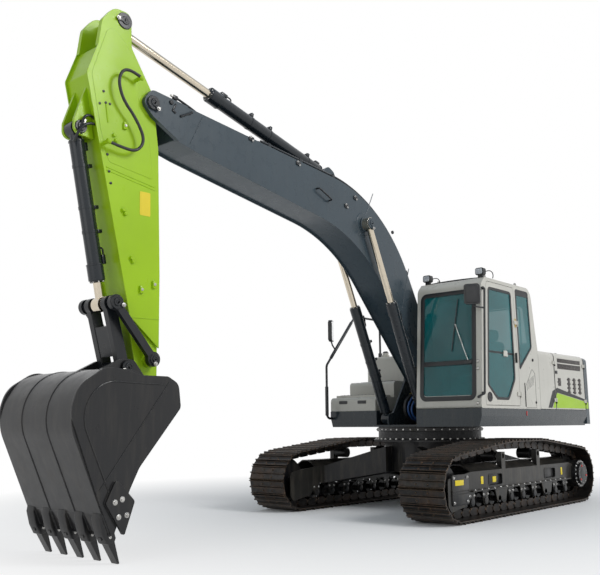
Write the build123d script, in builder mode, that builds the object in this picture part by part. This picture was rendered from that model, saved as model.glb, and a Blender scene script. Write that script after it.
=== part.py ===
from build123d import *
import math
import os

os.makedirs("parts", exist_ok=True)

# Crawler excavator, sizes in millimetres.
# X points forward, Y to the machine's left, Z up; the origin is the swing centre on the ground.

# Running gear
gauge = 2380
wheel_base = 3500
shoe_width = 600
shoe_count = 49
grouser_height = 26
shoe_plate = 12
track_radius = 395
track_top = 925
carrier_x = 500
link_height = 95
rail_y = 72
rail_width = 40
roller_count = 9
roller_pitch = 330
roller_radius = 78
roller_flange = 16
running_clearance = 0.3

# Side frames
frame_half = 190
frame_wall = 14
frame_bottom = 330
frame_flange = (50, 16)
bracket_top = 75
bracket_low = 42
guard_places = (610, -710)
recess_places = (725, -840)
frame_shoulder = 560
frame_ridge = 640
frame_front_x = 1330
frame_rear_x = -1480

# Centre frame and swing bearing
centre_radius = 640
centre_bottom = 480
centre_top = 880
bearing_radius = 720
bearing_bore = 560
bearing_gap = 0.5

# House
house_half = 1335
deck_bottom = 1083
deck_plate = 28
skirt_top = 1310
skirt_fold = 1215
skirt_lean = 40
skirt_width = 120
front_x = 915
right_front_x = 580
tail_radius = 2850
body_rear_x = -2390
body_top = 2140
panel = 26
panel_gap = 6
hood_corner = 80
girder_gap = 228
girder_plate = 26

# Cab
cab_right = 385
cab_wall = 55
cab_roof = 2990
cab_roof_front_x = 680
cab_brow = (785, cab_roof - 100)
cab_rear_x = -785
door_front_x = 785
door_front_top_x = 650
door_rear_x = -165
door_rear_top_x = -110
door_bottom = 1345
door_top = cab_roof - 45
glass = 6

# Working arm: pins at rest, seen from the side
boom_foot = (96, 1774)
boom_length = 5690
boom_angle = 25.8
arm_length = 2927
arm_angle = -91.7
boom_half = 220
fork_inner = 192
fork_outer = 238
fork_radius = 430
arm_half = 184
plate = 14
lip = 22
pin_radius = 40

# Cylinders: centre lines at rest
boom_cylinder_y = 300
boom_cylinder_foot = (600, 1200)
boom_rod_pin = (2328, 981)
arm_cylinder_foot = (3080, 1272)
arm_rod_pin = (-769, 304)
bucket_cylinder_foot = (391, 725)

# Bucket linkage in the arm's own directions: along the arm, then forward of it
guide_pin = (arm_length - 411, -5)
link_pin = (arm_length - 917, 418)
bucket_link_pin = (275, 325)
bucket_half = 580
bucket_wall = 24
tooth_count = 5


def turned(point, origin, angle):
    a = math.radians(angle)
    x = origin[0] + point[0] * math.cos(a) - point[1] * math.sin(a)
    z = origin[1] + point[0] * math.sin(a) + point[1] * math.cos(a)
    return (x, z)


def distance(a, b):
    return math.hypot(b[0] - a[0], b[1] - a[1])


def heading(a, b):
    return math.degrees(math.atan2(b[1] - a[1], b[0] - a[0]))


# A vertical plane seen from the machine's right: local x along the angle, local y to its left, facing -Y
def side_plane(point, angle=0, y=0):
    a = math.radians(angle)
    return Plane(origin=(point[0], y, point[1]), x_dir=(math.cos(a), 0, math.sin(a)), z_dir=(0, -1, 0))


# A plane across a line that runs from the point at the angle, so that an extrusion follows the line
def across_plane(point, angle, along=0, y=0):
    a = math.radians(angle)
    direction = (math.cos(a), 0, math.sin(a))
    origin = (point[0] + along * direction[0], y, point[1] + along * direction[2])
    return Plane(origin=origin, x_dir=(0, 1, 0), z_dir=direction)


# Columns of each outline: x, y, corner radius
def outline(rows):
    FilletPolyline(*[(x, y) for x, y, r in rows], radius=[r for x, y, r in rows], close=True)


def save(part, name):
    part.label = name
    export_step(part, f"parts/{name}.step")


nose_pin = turned((boom_length, 0), boom_foot, boom_angle)
bucket_pin = turned((arm_length, 0), nose_pin, arm_angle)
boom_rod_at = turned(boom_rod_pin, boom_foot, boom_angle)
arm_foot_at = turned(arm_cylinder_foot, boom_foot, boom_angle)
arm_rod_at = turned(arm_rod_pin, nose_pin, arm_angle)
bucket_foot_at = turned(bucket_cylinder_foot, nose_pin, arm_angle)
guide_at = turned(guide_pin, nose_pin, arm_angle)
link_at = turned(link_pin, nose_pin, arm_angle)
bucket_link_at = (bucket_pin[0] + bucket_link_pin[0], bucket_pin[1] + bucket_link_pin[1])

# Tracks
outer_radius = track_radius - grouser_height
wheel_x = wheel_base / 2


# The track's loop as straight runs and arcs: kind, start, end or centre, and length
def track_path():
    top = (carrier_x, track_top - grouser_height)
    reach = math.hypot(wheel_x - top[0], track_radius - top[1])
    lean = math.atan2(top[1] - track_radius, top[0] - wheel_x) - math.acos(outer_radius / reach)
    touch = (wheel_x + outer_radius * math.cos(lean), track_radius + outer_radius * math.sin(lean))
    low = track_radius - outer_radius
    sweep = lean + math.pi / 2
    return [
        ("line", (-wheel_x, low), (wheel_x, low)),
        ("arc", (wheel_x, track_radius), (-math.pi / 2, sweep)),
        ("line", touch, top),
        ("line", top, (-top[0], top[1])),
        ("line", (-top[0], top[1]), (-touch[0], touch[1])),
        ("arc", (-wheel_x, track_radius), (math.pi - lean, sweep)),
    ]


path = track_path()
path_sizes = [distance(a, b) if kind == "line" else outer_radius * b[1] for kind, a, b in path]
shoe_pitch = sum(path_sizes) / shoe_count


# A point of the loop and its outward normal
def path_point(left):
    for (kind, a, b), size in zip(path, path_sizes):
        if left <= size:
            break
        left -= size
    if kind == "line":
        along = ((b[0] - a[0]) / size, (b[1] - a[1]) / size)
        return (a[0] + along[0] * left, a[1] + along[1] * left), (along[1], -along[0])
    angle = b[0] + left / outer_radius
    normal = (math.cos(angle), math.sin(angle))
    return (a[0] + outer_radius * normal[0], a[1] + outer_radius * normal[1]), normal


# One shoe's outer side: share of the pitch, share of the grouser height
shoe_rows = [
    (0.02, 0.0),
    (0.05, 0.85),
    (0.12, 0.0),
    (0.43, 0.0),
    (0.46, 1.0),
    (0.54, 1.0),
    (0.57, 0.0),
    (0.88, 0.0),
    (0.95, 0.85),
    (0.98, 0.0),
]


def track_loop(depth):
    points = [path_point((i + 0.5) * shoe_pitch) for i in range(shoe_count)]
    return [(p[0] - n[0] * depth, p[1] - n[1] * depth) for p, n in points]


def shoe_loop():
    joints = track_loop(0)
    points = []
    for a, b in zip(joints, joints[1:] + joints[:1]):
        across = (b[0] - a[0], b[1] - a[1])
        size = math.hypot(*across)
        normal = (across[1] / size, -across[0] / size)
        for along, height in shoe_rows:
            up = height * grouser_height
            points.append((a[0] + across[0] * along + normal[0] * up, a[1] + across[1] * along + normal[1] * up))
    return points


def make_track(y):
    with BuildPart() as track:
        with BuildSketch(side_plane((0, 0), y=y)):
            with BuildLine():
                Polyline(*shoe_loop(), close=True)
            make_face()
            with BuildLine():
                Polyline(*track_loop(shoe_plate), close=True)
            make_face(mode=Mode.SUBTRACT)
        extrude(amount=shoe_width / 2, both=True)
        for side in (-1, 1):
            with BuildSketch(side_plane((0, 0), y=y + side * rail_y)):
                with BuildLine():
                    Polyline(*track_loop(shoe_plate / 2), close=True)
                make_face()
                with BuildLine():
                    Polyline(*track_loop(shoe_plate + link_height), close=True)
                make_face(mode=Mode.SUBTRACT)
            extrude(amount=rail_width / 2, both=True)
    return track.part


for name, side in (("left_track", 1), ("right_track", -1)):
    save(make_track(side * gauge / 2), name)

rail_depth = shoe_plate + link_height
rail_radius = outer_radius - rail_depth
seat_radius = rail_radius * math.cos(shoe_pitch / outer_radius / 2)
wheel_radius = seat_radius - running_clearance
tread_half = rail_y + rail_width / 2

# Front idlers, their shafts and sliding blocks
idler_flange = 34
shaft_radius = 45
with BuildPart() as idlers:
    for side in (-1, 1):
        y = side * gauge / 2
        with BuildSketch(side_plane((wheel_x, track_radius), y=y)):
            Circle(wheel_radius)
        extrude(amount=tread_half, both=True)
        with BuildSketch(side_plane((wheel_x, track_radius), y=y)):
            Circle(wheel_radius + idler_flange)
        extrude(amount=rail_y - rail_width / 2 - 4, both=True)
        with BuildSketch(side_plane((wheel_x, track_radius), y=y)):
            Circle(shaft_radius)
        extrude(amount=frame_half - frame_wall - 1, both=True)
save(idlers.part, "idlers")

# Sprockets with their travel drives
tooth_number = 21
sprocket_tip = outer_radius - shoe_plate - 6
drive_radius = 190
drive_outer = 250
drive_inner = 250
cover_radius = 150
cover_height = 38
with BuildPart() as travel_drives:
    for side in (-1, 1):
        y = side * gauge / 2
        with BuildSketch(side_plane((-wheel_x, track_radius), y=y)):
            Circle(wheel_radius - 6)
            with PolarLocations(wheel_radius - 8, tooth_number):
                Polygon((0, -22), (sprocket_tip - wheel_radius - 30, -7), (sprocket_tip - wheel_radius - 30, 7), (0, 22),
                        align=None)
        extrude(amount=rail_y - rail_width / 2 - 6, both=True)
        with BuildSketch(side_plane((-wheel_x, track_radius), y=y + side * drive_outer)):
            Circle(drive_radius)
        extrude(amount=side * (drive_outer + drive_inner))
        with BuildSketch(side_plane((-wheel_x, track_radius), y=y + side * drive_outer)):
            Circle(cover_radius)
        extrude(amount=-side * cover_height)
save(travel_drives.part, "travel_drives")

# Bottom rollers and carrier rollers
roller_z = grouser_height + rail_depth + roller_radius + running_clearance
carrier_radius = 68
carrier_z = track_top - grouser_height - rail_depth - carrier_radius - 6
carrier_stub = frame_half - 20
with BuildPart() as track_rollers:
    for side in (-1, 1):
        y = side * gauge / 2
        for i in range(roller_count):
            x = (i - (roller_count - 1) / 2) * roller_pitch
            with BuildSketch(side_plane((x, roller_z), y=y)):
                Circle(roller_radius)
            extrude(amount=tread_half, both=True)
            with BuildSketch(side_plane((x, roller_z), y=y)):
                Circle(roller_radius + roller_flange)
            extrude(amount=rail_y - rail_width / 2 - 4, both=True)
            with BuildSketch(side_plane((x, roller_z), y=y)):
                Circle(34)
            extrude(amount=frame_half - frame_wall - 1, both=True)
        for x in (-carrier_x, carrier_x):
            with BuildSketch(side_plane((x, carrier_z), y=y)):
                Circle(carrier_radius)
            extrude(amount=tread_half, both=True)
            with BuildSketch(side_plane((x, carrier_z), y=y)):
                Circle(32)
            extrude(amount=-side * carrier_stub)
save(track_rollers.part, "track_rollers")

# Side frames: an inverted channel with a sloping top, idler guards and carrier brackets
guard_front_x = 1850
with BuildPart() as track_frames:
    for side in (-1, 1):
        y = side * gauge / 2
        section = Plane(origin=(frame_rear_x, y, 0), x_dir=(0, 1, 0), z_dir=(1, 0, 0))
        with BuildSketch(section):
            Polygon(
                (-frame_half, frame_bottom),
                (frame_half, frame_bottom),
                (frame_half, frame_shoulder),
                (60, frame_ridge),
                (-60, frame_ridge),
                (-frame_half, frame_shoulder),
                align=None,
            )
            Polygon(
                (-frame_half + frame_wall, frame_bottom),
                (frame_half - frame_wall, frame_bottom),
                (frame_half - frame_wall, frame_shoulder - 10),
                (50, frame_ridge - frame_wall),
                (-50, frame_ridge - frame_wall),
                (-frame_half + frame_wall, frame_shoulder - 10),
                align=None,
                mode=Mode.SUBTRACT,
            )
            with Locations((side * (frame_half + 5), frame_bottom + frame_flange[1] / 2)):
                Rectangle(*frame_flange)
        extrude(amount=frame_front_x - frame_rear_x)
        with BuildSketch(side_plane((0, 0), y=y + side * (frame_half + frame_wall / 2))):
            for x in guard_places:
                Polygon(
                    (x - 170, frame_bottom + 10),
                    (x + 170, frame_bottom + 10),
                    (x + 110, roller_z - 20),
                    (x - 110, roller_z - 20),
                    align=None,
                )
        extrude(amount=frame_wall / 2, both=True)
        for edge in (-1, 1):
            with BuildSketch(side_plane((0, 0), y=y + edge * (frame_half - frame_wall / 2))):
                for i in range(roller_count):
                    x = (i - (roller_count - 1) / 2) * roller_pitch
                    Polygon(
                        (x - bracket_top, frame_bottom + 10),
                        (x + bracket_top, frame_bottom + 10),
                        (x + bracket_low, roller_z - 45),
                        (x - bracket_low, roller_z - 45),
                        align=None,
                    )
            extrude(amount=frame_wall / 2, both=True)
            with BuildSketch(side_plane((0, 0), y=y + edge * (frame_half - frame_wall / 2))):
                with BuildLine():
                    outline([
                        (frame_rear_x, frame_bottom, 0),
                        (frame_front_x, frame_bottom, 0),
                        (frame_front_x + 120, frame_bottom - 150, 0),
                        (guard_front_x - 60, 130, 40),
                        (guard_front_x, 200, 60),
                        (guard_front_x, 500, 40),
                        (frame_front_x, frame_shoulder, 0),
                        (frame_rear_x, frame_shoulder, 0),
                        (-wheel_x - 60, frame_shoulder - 60, 60),
                        (-wheel_x - 60, frame_bottom, 60),
                    ])
                make_face()
            extrude(amount=frame_wall / 2, both=True)
        for x in (-carrier_x, carrier_x):
            with BuildSketch(Plane.XY.offset(frame_shoulder)):
                with Locations((x, y + side * (frame_half - 35))):
                    Rectangle(100, 70)
            extrude(amount=carrier_z + 50 - frame_shoulder)
            with BuildSketch(side_plane((x, carrier_z), y=y)):
                Circle(32 + running_clearance)
            extrude(amount=-side * 400, mode=Mode.SUBTRACT)
        with BuildSketch(side_plane((0, 0), y=y + side * (frame_half + 5))):
            with Locations(*[(x, (frame_bottom + frame_shoulder) / 2) for x in recess_places]):
                RectangleRounded(340, 130, 30)
        extrude(amount=side * (frame_wall + 10), mode=Mode.SUBTRACT)
    with BuildSketch(side_plane((-wheel_x, track_radius))):
        Circle(drive_radius + running_clearance)
    extrude(amount=gauge, both=True, mode=Mode.SUBTRACT)
save(track_frames.part, "track_frames")

# Centre frame with four legs to the side frames
leg_inner = (520, 420)
leg_outer = (930, 560)
side_face = gauge / 2 - frame_half
with BuildPart() as lower_frame:
    with BuildSketch(Plane.XY.offset(centre_bottom)):
        Circle(centre_radius)
    extrude(amount=centre_top - centre_bottom)
    for sx in (-1, 1):
        for sy in (-1, 1):
            start = Plane(origin=(sx * leg_inner[0], sy * 250, 0), x_dir=(1, 0, 0), z_dir=(0, sy, 0))
            end = Plane(origin=(sx * leg_outer[0], sy * side_face, 0), x_dir=(1, 0, 0), z_dir=(0, sy, 0))
            with BuildSketch(start):
                with Locations((0, -sy * (centre_bottom + centre_top - 60) / 2)):
                    Rectangle(leg_inner[1], centre_top - 60 - centre_bottom)
            with BuildSketch(end):
                with Locations((0, -sy * (frame_bottom + frame_shoulder) / 2)):
                    Rectangle(leg_outer[1] - 120, frame_shoulder - frame_bottom)
            loft()
    with BuildSketch(Plane.XY.offset(centre_bottom)):
        Circle(bearing_bore - 120)
    extrude(amount=centre_top - centre_bottom + 10, mode=Mode.SUBTRACT)
save(lower_frame.part, "lower_frame")

with BuildPart() as swing_bearing:
    with BuildSketch(Plane.XY.offset(centre_top)):
        Circle(bearing_radius)
        Circle(bearing_bore, mode=Mode.SUBTRACT)
    extrude(amount=deck_bottom - bearing_gap - centre_top)
save(swing_bearing.part, "swing_bearing")

# House frame: deck, skirts, boom girders
corner_x = -math.sqrt(tail_radius**2 - house_half**2)
weight_front_x = body_rear_x - panel_gap - 4
seat_gap = 0.3
girder_out = girder_gap + girder_plate
girder_front_top = 1500
girder_rear_top = 1350
deck_half = house_half - skirt_lean
box_inner = 500
with BuildPart() as house_frame:
    with BuildSketch(Plane.XY.offset(deck_bottom)):
        with BuildLine():
            Polyline(
                (front_x, deck_half),
                (front_x, cab_right),
                (right_front_x + 60, cab_right),
                (right_front_x + 60, -box_inner),
                (right_front_x, -box_inner),
                (right_front_x, -deck_half),
                (weight_front_x, -deck_half),
                (weight_front_x, deck_half),
                close=True,
            )
        make_face()
    extrude(amount=deck_plate)
    # The skirts stand upright down to a fold and lean inward below it
    for side, x in ((1, front_x), (-1, right_front_x)):
        with BuildSketch(Plane(origin=(weight_front_x, 0, 0), x_dir=(0, 1, 0), z_dir=(1, 0, 0))):
            Polygon(
                (side * house_half, skirt_top),
                (side * house_half, skirt_fold),
                (side * deck_half, deck_bottom),
                (side * (house_half - skirt_width), deck_bottom),
                (side * (house_half - skirt_width), skirt_top),
                align=None,
            )
        extrude(amount=x - weight_front_x)
    with BuildSketch(Plane.XY.offset(deck_bottom)):
        with Locations((front_x - skirt_width / 2, (deck_half + cab_right) / 2)):
            Rectangle(skirt_width, deck_half - cab_right)
        with Locations((right_front_x - skirt_width / 2, -(deck_half + box_inner) / 2)):
            Rectangle(skirt_width, deck_half - box_inner)
    extrude(amount=skirt_top - deck_bottom)
    for side in (-1, 1):
        with BuildSketch(side_plane((0, 0), y=side * (girder_gap + girder_plate / 2))):
            with BuildLine():
                outline([
                    (weight_front_x, deck_bottom + deck_plate - 2, 0),
                    (boom_cylinder_foot[0] + 60, deck_bottom + deck_plate - 2, 0),
                    (boom_cylinder_foot[0] + 85, boom_cylinder_foot[1] + 50, 60),
                    (boom_cylinder_foot[0] - 60, boom_cylinder_foot[1] + 85, 60),
                    (boom_foot[0] + 150, boom_foot[1] - 60, 80),
                    (boom_foot[0] + 110, boom_foot[1] + 120, 100),
                    (boom_foot[0] - 130, boom_foot[1] + 120, 110),
                    (boom_foot[0] - 420, girder_front_top, 150),
                    (weight_front_x, girder_rear_top, 0),
                ])
            make_face()
        extrude(amount=girder_plate / 2, both=True)
        with BuildSketch(side_plane(boom_cylinder_foot, y=side * girder_out)):
            Circle(pin_radius)
        extrude(amount=-side * (boom_cylinder_y + 50 - girder_out))
    with BuildSketch(side_plane(boom_foot)):
        Circle(pin_radius + 5)
    extrude(amount=girder_out + 20, both=True)
save(house_frame.part, "house_frame")

# Counterweight: a heavy shell with a rounded tail and two lifting eyes
weight_bottom = deck_bottom + 20
weight_top = body_top - 20
weight_wall = 50
eye_hole = 28
eye_x = weight_front_x - 200


def weight_outline(inset):
    front = weight_front_x - seat_gap - inset
    half = house_half - inset
    rear = -tail_radius + inset
    corner = corner_x + inset
    Line((front, half), (corner, half))
    ThreePointArc((corner, half), (rear, 0), (corner, -half))
    Line((corner, -half), (front, -half))
    Line((front, -half), (front, half))


with BuildPart() as counterweight:
    with BuildSketch(Plane.XY.offset(weight_bottom)):
        with BuildLine():
            weight_outline(0)
        make_face()
    extrude(amount=weight_top - weight_bottom)
    fillet(counterweight.faces().sort_by(Axis.Z)[-1].edges().sort_by(Axis.X)[:-1], 60)
    with BuildSketch(Plane.XY.offset(weight_bottom + weight_wall)):
        with BuildLine():
            weight_outline(weight_wall)
        make_face()
    extrude(amount=weight_top - weight_bottom - 2 * weight_wall, mode=Mode.SUBTRACT)
    for side in (-1, 1):
        with BuildSketch(side_plane((eye_x, weight_top), y=side * 800)):
            with Locations((0, 20)):
                Rectangle(140, 60)
            with Locations((0, 50)):
                Circle(70)
                Circle(eye_hole, mode=Mode.SUBTRACT)
            with Locations((0, -60)):
                Rectangle(200, 100, mode=Mode.SUBTRACT)
        extrude(amount=20, both=True)
save(counterweight.part, "counterweight")

# Outside hinges: rows of heights, a pin with its bracket on the body and a knuckle with its leaf on the door
hinge_stand = 12
hinge_pin = 6
knuckle_radius = 12
knuckle_height = 50
pillar_half = 5
door_seam = 6


def hinge_pins(x, side, heights):
    with BuildPart() as pins:
        for z in heights:
            with BuildSketch(Plane.XY.offset(z - 24)):
                with Locations((x, side * (house_half + hinge_stand / 2))):
                    Rectangle(2 * pillar_half, hinge_stand)
                with Locations((x, side * (house_half + hinge_stand))):
                    Circle(knuckle_radius - 2)
            extrude(amount=24 - 2)
            with BuildSketch(Plane.XY.offset(z - 4)):
                with Locations((x, side * (house_half + hinge_stand))):
                    Circle(hinge_pin)
            extrude(amount=knuckle_height + 4)
    return pins.part


def hinge_knuckles(x, side, heights, leaf):
    with BuildPart() as knuckles:
        for z in heights:
            with BuildSketch(Plane.XY.offset(z)):
                with Locations((x, side * (house_half + hinge_stand))):
                    Circle(knuckle_radius)
                with Locations((x + leaf / 2, side * (house_half + hinge_stand - 3))):
                    Rectangle(leaf, 6)
                with Locations((x + leaf - 10, side * (house_half + hinge_stand / 2))):
                    Rectangle(20, hinge_stand)
                with Locations((x, side * (house_half + hinge_stand))):
                    Circle(hinge_pin + running_clearance, mode=Mode.SUBTRACT)
            extrude(amount=knuckle_height)
    return knuckles.part


# Hinges across the machine for lids: the pin with its feet, then the knuckle with its leaf; turn points to the feet
def lid_pins(x, z, base, turn, places):
    with BuildPart() as pins:
        for y in places:
            with BuildSketch(side_plane((x, z), y=y)):
                Circle(hinge_pin)
            extrude(amount=knuckle_height / 2 + 11, both=True)
            for end in (-1, 1):
                with BuildSketch(side_plane((x, z), y=y + end * (knuckle_height / 2 + 7))):
                    Circle(knuckle_radius - 3)
                    with Locations((turn * 15, (base - z) / 2 + 3)):
                        Rectangle(24, z - base + 8)
                extrude(amount=5, both=True)
    return pins.part


def lid_knuckles(x, z, reach, turn, places):
    with BuildPart() as knuckles:
        for y in places:
            with BuildSketch(side_plane((x, z), y=y)):
                Circle(knuckle_radius)
                with Locations((-turn * reach / 2, -knuckle_radius / 2 - 1)):
                    Rectangle(reach, knuckle_radius + 2)
                Circle(hinge_pin + running_clearance, mode=Mode.SUBTRACT)
            extrude(amount=knuckle_height / 2, both=True)
    return knuckles.part


# Cab shell: one hollow body with its door, windscreen and window openings
cab_width = house_half - cab_right
cab_middle = (house_half + cab_right) / 2
cab_floor = skirt_top
cab_side = [
    (front_x - 6, cab_floor + 0.5, 30),
    (*cab_brow, 120),
    (cab_roof_front_x, cab_roof, 60),
    (cab_rear_x + 150, cab_roof, 160),
    (cab_rear_x, cab_floor + 780, 200),
    (cab_rear_x, cab_floor + 0.5, 20),
]
cab_hinges = (1480, door_top - 505)
door_hole = [
    (door_front_x, door_bottom, 20),
    (door_front_x, 1520, 200),
    (door_front_top_x, door_top, 60),
    (door_rear_top_x, door_top, 40),
    (door_rear_x, 1790, 0),
    (door_rear_x, door_bottom, 20),
]
quarter_hole = [
    (door_rear_top_x - 55, door_top - 10, 40),
    (-560, door_top - 10, 60),
    (-600, 2150, 40),
    (door_rear_x - 25, 1820, 30),
]
window_top = cab_roof - 140
side_window = [
    (560, 1850, 60),
    (520, window_top, 60),
    (-560, window_top, 60),
    (-600, 1850, 60),
]
rear_window = (cab_width - 240, 620)
rear_window_z = cab_roof - 540


def front_plane(offset):
    lean = math.atan2(front_x - 6 - cab_brow[0], cab_brow[1] - cab_floor)
    middle = ((front_x - 6 + cab_brow[0]) / 2, (cab_floor + cab_brow[1]) / 2)
    normal = (math.cos(lean), 0, math.sin(lean))
    origin = (middle[0] + normal[0] * offset, cab_middle, middle[1] + normal[2] * offset)
    return Plane(origin=origin, x_dir=(0, 1, 0), z_dir=normal)


# Windscreen panes on the front plane: height of the middle, height, width
screen_length = math.hypot(front_x - 6 - cab_brow[0], cab_brow[1] - cab_floor)
screen_rows = [
    (0.161 * screen_length, 0.58 * screen_length, cab_width - 190),
    (-0.268 * screen_length, 0.259 * screen_length, cab_width - 190),
]
with BuildPart() as cab_shell:
    with BuildSketch(side_plane((0, 0), y=house_half)):
        with BuildLine():
            outline(cab_side)
        make_face()
    extrude(amount=cab_width)
    with BuildSketch(side_plane((0, 0), y=house_half - cab_wall)):
        with BuildLine():
            outline(cab_side)
        make_face()
        offset(amount=-cab_wall, mode=Mode.REPLACE)
    extrude(amount=cab_width - 2 * cab_wall, mode=Mode.SUBTRACT)
    with BuildSketch(side_plane((0, 0), y=house_half + 10)):
        with BuildLine():
            outline(door_hole)
        make_face()
        with BuildLine():
            outline(quarter_hole)
        make_face()
    extrude(amount=cab_wall + 20, mode=Mode.SUBTRACT)
    with BuildSketch(side_plane((0, 0), y=cab_right + cab_wall + 10)):
        with BuildLine():
            outline(side_window)
        make_face()
    extrude(amount=cab_wall + 20, mode=Mode.SUBTRACT)
    with BuildSketch(front_plane(30)):
        for middle, height, width in screen_rows:
            with Locations((0, middle)):
                RectangleRounded(width, height, 60)
    extrude(amount=-cab_wall * 2, mode=Mode.SUBTRACT)
    with BuildSketch(Plane(origin=(cab_rear_x - 10, cab_middle, rear_window_z), x_dir=(0, 1, 0), z_dir=(1, 0, 0))):
        RectangleRounded(*rear_window, 60)
    extrude(amount=cab_wall + 140, mode=Mode.SUBTRACT)
    add(hinge_pins(door_rear_x - pillar_half, 1, cab_hinges))
save(cab_shell.part, "cab_shell")

pane_gap = 1
with BuildPart() as cab_glass:
    with BuildSketch(front_plane(-4)):
        for middle, height, width in screen_rows:
            with Locations((0, middle)):
                RectangleRounded(width - 2 * pane_gap, height - 2 * pane_gap, 59)
    extrude(amount=-glass)
    with BuildSketch(side_plane((0, 0), y=house_half - 4)):
        with BuildLine():
            outline(quarter_hole)
        make_face()
        offset(amount=-pane_gap, mode=Mode.REPLACE)
    extrude(amount=glass)
    with BuildSketch(side_plane((0, 0), y=cab_right + 4 + glass)):
        with BuildLine():
            outline(side_window)
        make_face()
        offset(amount=-pane_gap, mode=Mode.REPLACE)
    extrude(amount=glass)
save(cab_glass.part, "cab_glass")

# Cab door with its window cut, hinged at the rear edge
door_clearance = 6
door_window = [
    (door_front_x - 60, 1600, 60),
    (door_front_top_x - 45, door_top - 70, 60),
    (door_rear_top_x + 70, door_top - 70, 60),
    (door_rear_x + 110, 1700, 50),
    (door_rear_x + 320, 1420, 50),
    (door_front_x - 300, 1420, 50),
]
door_thick = 42
with BuildPart() as cab_door:
    with BuildSketch(side_plane((0, 0), y=house_half)):
        with BuildLine():
            outline(door_hole)
        make_face()
        offset(amount=-door_clearance, mode=Mode.REPLACE)
        with BuildLine():
            outline(door_window)
        make_face(mode=Mode.SUBTRACT)
    extrude(amount=door_thick)
    add(hinge_knuckles(door_rear_x - pillar_half, 1, cab_hinges, 90))
save(cab_door.part, "cab_door")

with BuildPart() as cab_door_glass:
    with BuildSketch(side_plane((0, 0), y=house_half - 6)):
        with BuildLine():
            outline(door_window)
        make_face()
        offset(amount=-pane_gap, mode=Mode.REPLACE)
    extrude(amount=glass)
save(cab_door_glass.part, "cab_door_glass")

# Seat and console inside the cab
floor_z = cab_floor + cab_wall
cushion_low = 276
cushion_thick = 130
back_lean = 10
with BuildPart() as operator_seat:
    with Locations((-60, cab_middle, floor_z + 140)):
        Box(420, 360, 279)
    with BuildSketch(Plane.XY.offset(floor_z + cushion_low)):
        with Locations((-40, cab_middle)):
            RectangleRounded(520, 500, 80)
    extrude(amount=cushion_thick)
    fillet(operator_seat.faces().sort_by(Axis.Z)[-1].edges(), 30)
    lean = math.radians(back_lean)
    facing = (math.cos(lean), 0, math.sin(lean))
    with BuildSketch(Plane(origin=(-220, cab_middle, floor_z + cushion_low), x_dir=(0, 1, 0), z_dir=facing)):
        with Locations((0, 300)):
            RectangleRounded(480, 600, 110)
        with Locations((0, 640)):
            RectangleRounded(270, 190, 70)
    extrude(amount=-110)
save(operator_seat.part, "operator_seat")

with BuildPart() as cab_console:
    for side in (-1, 1):
        with Locations((60, cab_middle + side * 330, floor_z + 290)):
            Box(620, 120, 180)
        with Locations((60, cab_middle + side * 330, floor_z + 100)):
            Box(360, 100, 199)
        with Locations((280, cab_middle + side * 330, floor_z + 470)):
            Cylinder(24, 180)
    with Locations((560, cab_middle, floor_z + 60)):
        Box(140, 360, 119)
save(cab_console.part, "cab_console")

# Engine as one plain block that sits on the girders
engine_size = (640, 1500, 600)
engine_x = -1750
girder_slope = (girder_front_top - girder_rear_top) / (boom_foot[0] - 420 - weight_front_x)
engine_low = girder_rear_top + (engine_x + engine_size[0] / 2 - weight_front_x) * girder_slope + seat_gap
with BuildPart() as engine_block:
    with Locations((engine_x, 0, engine_low + engine_size[2] / 2)):
        Box(*engine_size)
save(engine_block.part, "engine_block")

# Body panels: bulkheads and the fixed frame around the doors
bulkhead = 30
bulkhead_width = house_half - skirt_width - girder_out - 4
bulkhead_middle = girder_out + 1 + bulkhead_width / 2
pillar_x = -1300
rear_pillar_x = body_rear_x + pillar_half
side_hinges = (1420, 1960)
left_front = (cab_rear_x - panel_gap, pillar_x + pillar_half + door_seam)
left_rear = (pillar_x - knuckle_radius - door_seam, rear_pillar_x + pillar_half + door_seam)
with BuildPart() as body_frame:
    for x in (pillar_x - pillar_half, body_rear_x):
        for side in (-1, 1):
            with BuildSketch(Plane(origin=(x, side * bulkhead_middle, 0), x_dir=(0, 1, 0), z_dir=(1, 0, 0))):
                with Locations((0, (deck_bottom + deck_plate + body_top - panel) / 2)):
                    Rectangle(bulkhead_width, body_top - panel - deck_bottom - deck_plate - 2 * seat_gap)
            extrude(amount=bulkhead)
    # The wall behind the cab closes the body over the girders
    with BuildSketch(Plane(origin=(cab_rear_x - panel_gap - bulkhead, 0, 0), x_dir=(0, 1, 0), z_dir=(1, 0, 0))):
        Polygon(
            (girder_out + 1, deck_bottom + deck_plate + seat_gap),
            (house_half - skirt_width - 4, deck_bottom + deck_plate + seat_gap),
            (house_half - skirt_width - 4, body_top - panel - seat_gap),
            (-box_inner - 14, body_top - panel - seat_gap),
            (-box_inner - 14, deck_bottom + deck_plate + seat_gap),
            (-girder_out - 1, deck_bottom + deck_plate + seat_gap),
            (-girder_out - 1, girder_front_top),
            (girder_out + 1, girder_front_top),
            align=None,
        )
    extrude(amount=bulkhead)
    for x, side in ((pillar_x, 1), (rear_pillar_x, 1), (rear_pillar_x, -1)):
        with BuildSketch(Plane.XY.offset(skirt_top + seat_gap)):
            with Locations((x, side * (house_half - 65))):
                Rectangle(2 * pillar_half, 130)
        extrude(amount=body_top - 60 - skirt_top)
        add(hinge_pins(x, side, side_hinges))
save(body_frame.part, "body_frame")


# Vents of the rear doors: two rows of upright slots, three columns of flat ones and one beside them
vent_pitch = 84
slot_size = (130, 22)
rear_vents = [(-1460, 1711, *slot_size)]
for i in range(10):
    rear_vents.append((-1460 - vent_pitch * i, 1942, 64, 76))
    rear_vents.append((-1460 - vent_pitch * i, 2027, 64, 58))
for x in (-1800, -2000, -2200):
    for i in range(4):
        rear_vents.append((x, 1570 + 62 * i, *slot_size))


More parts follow.
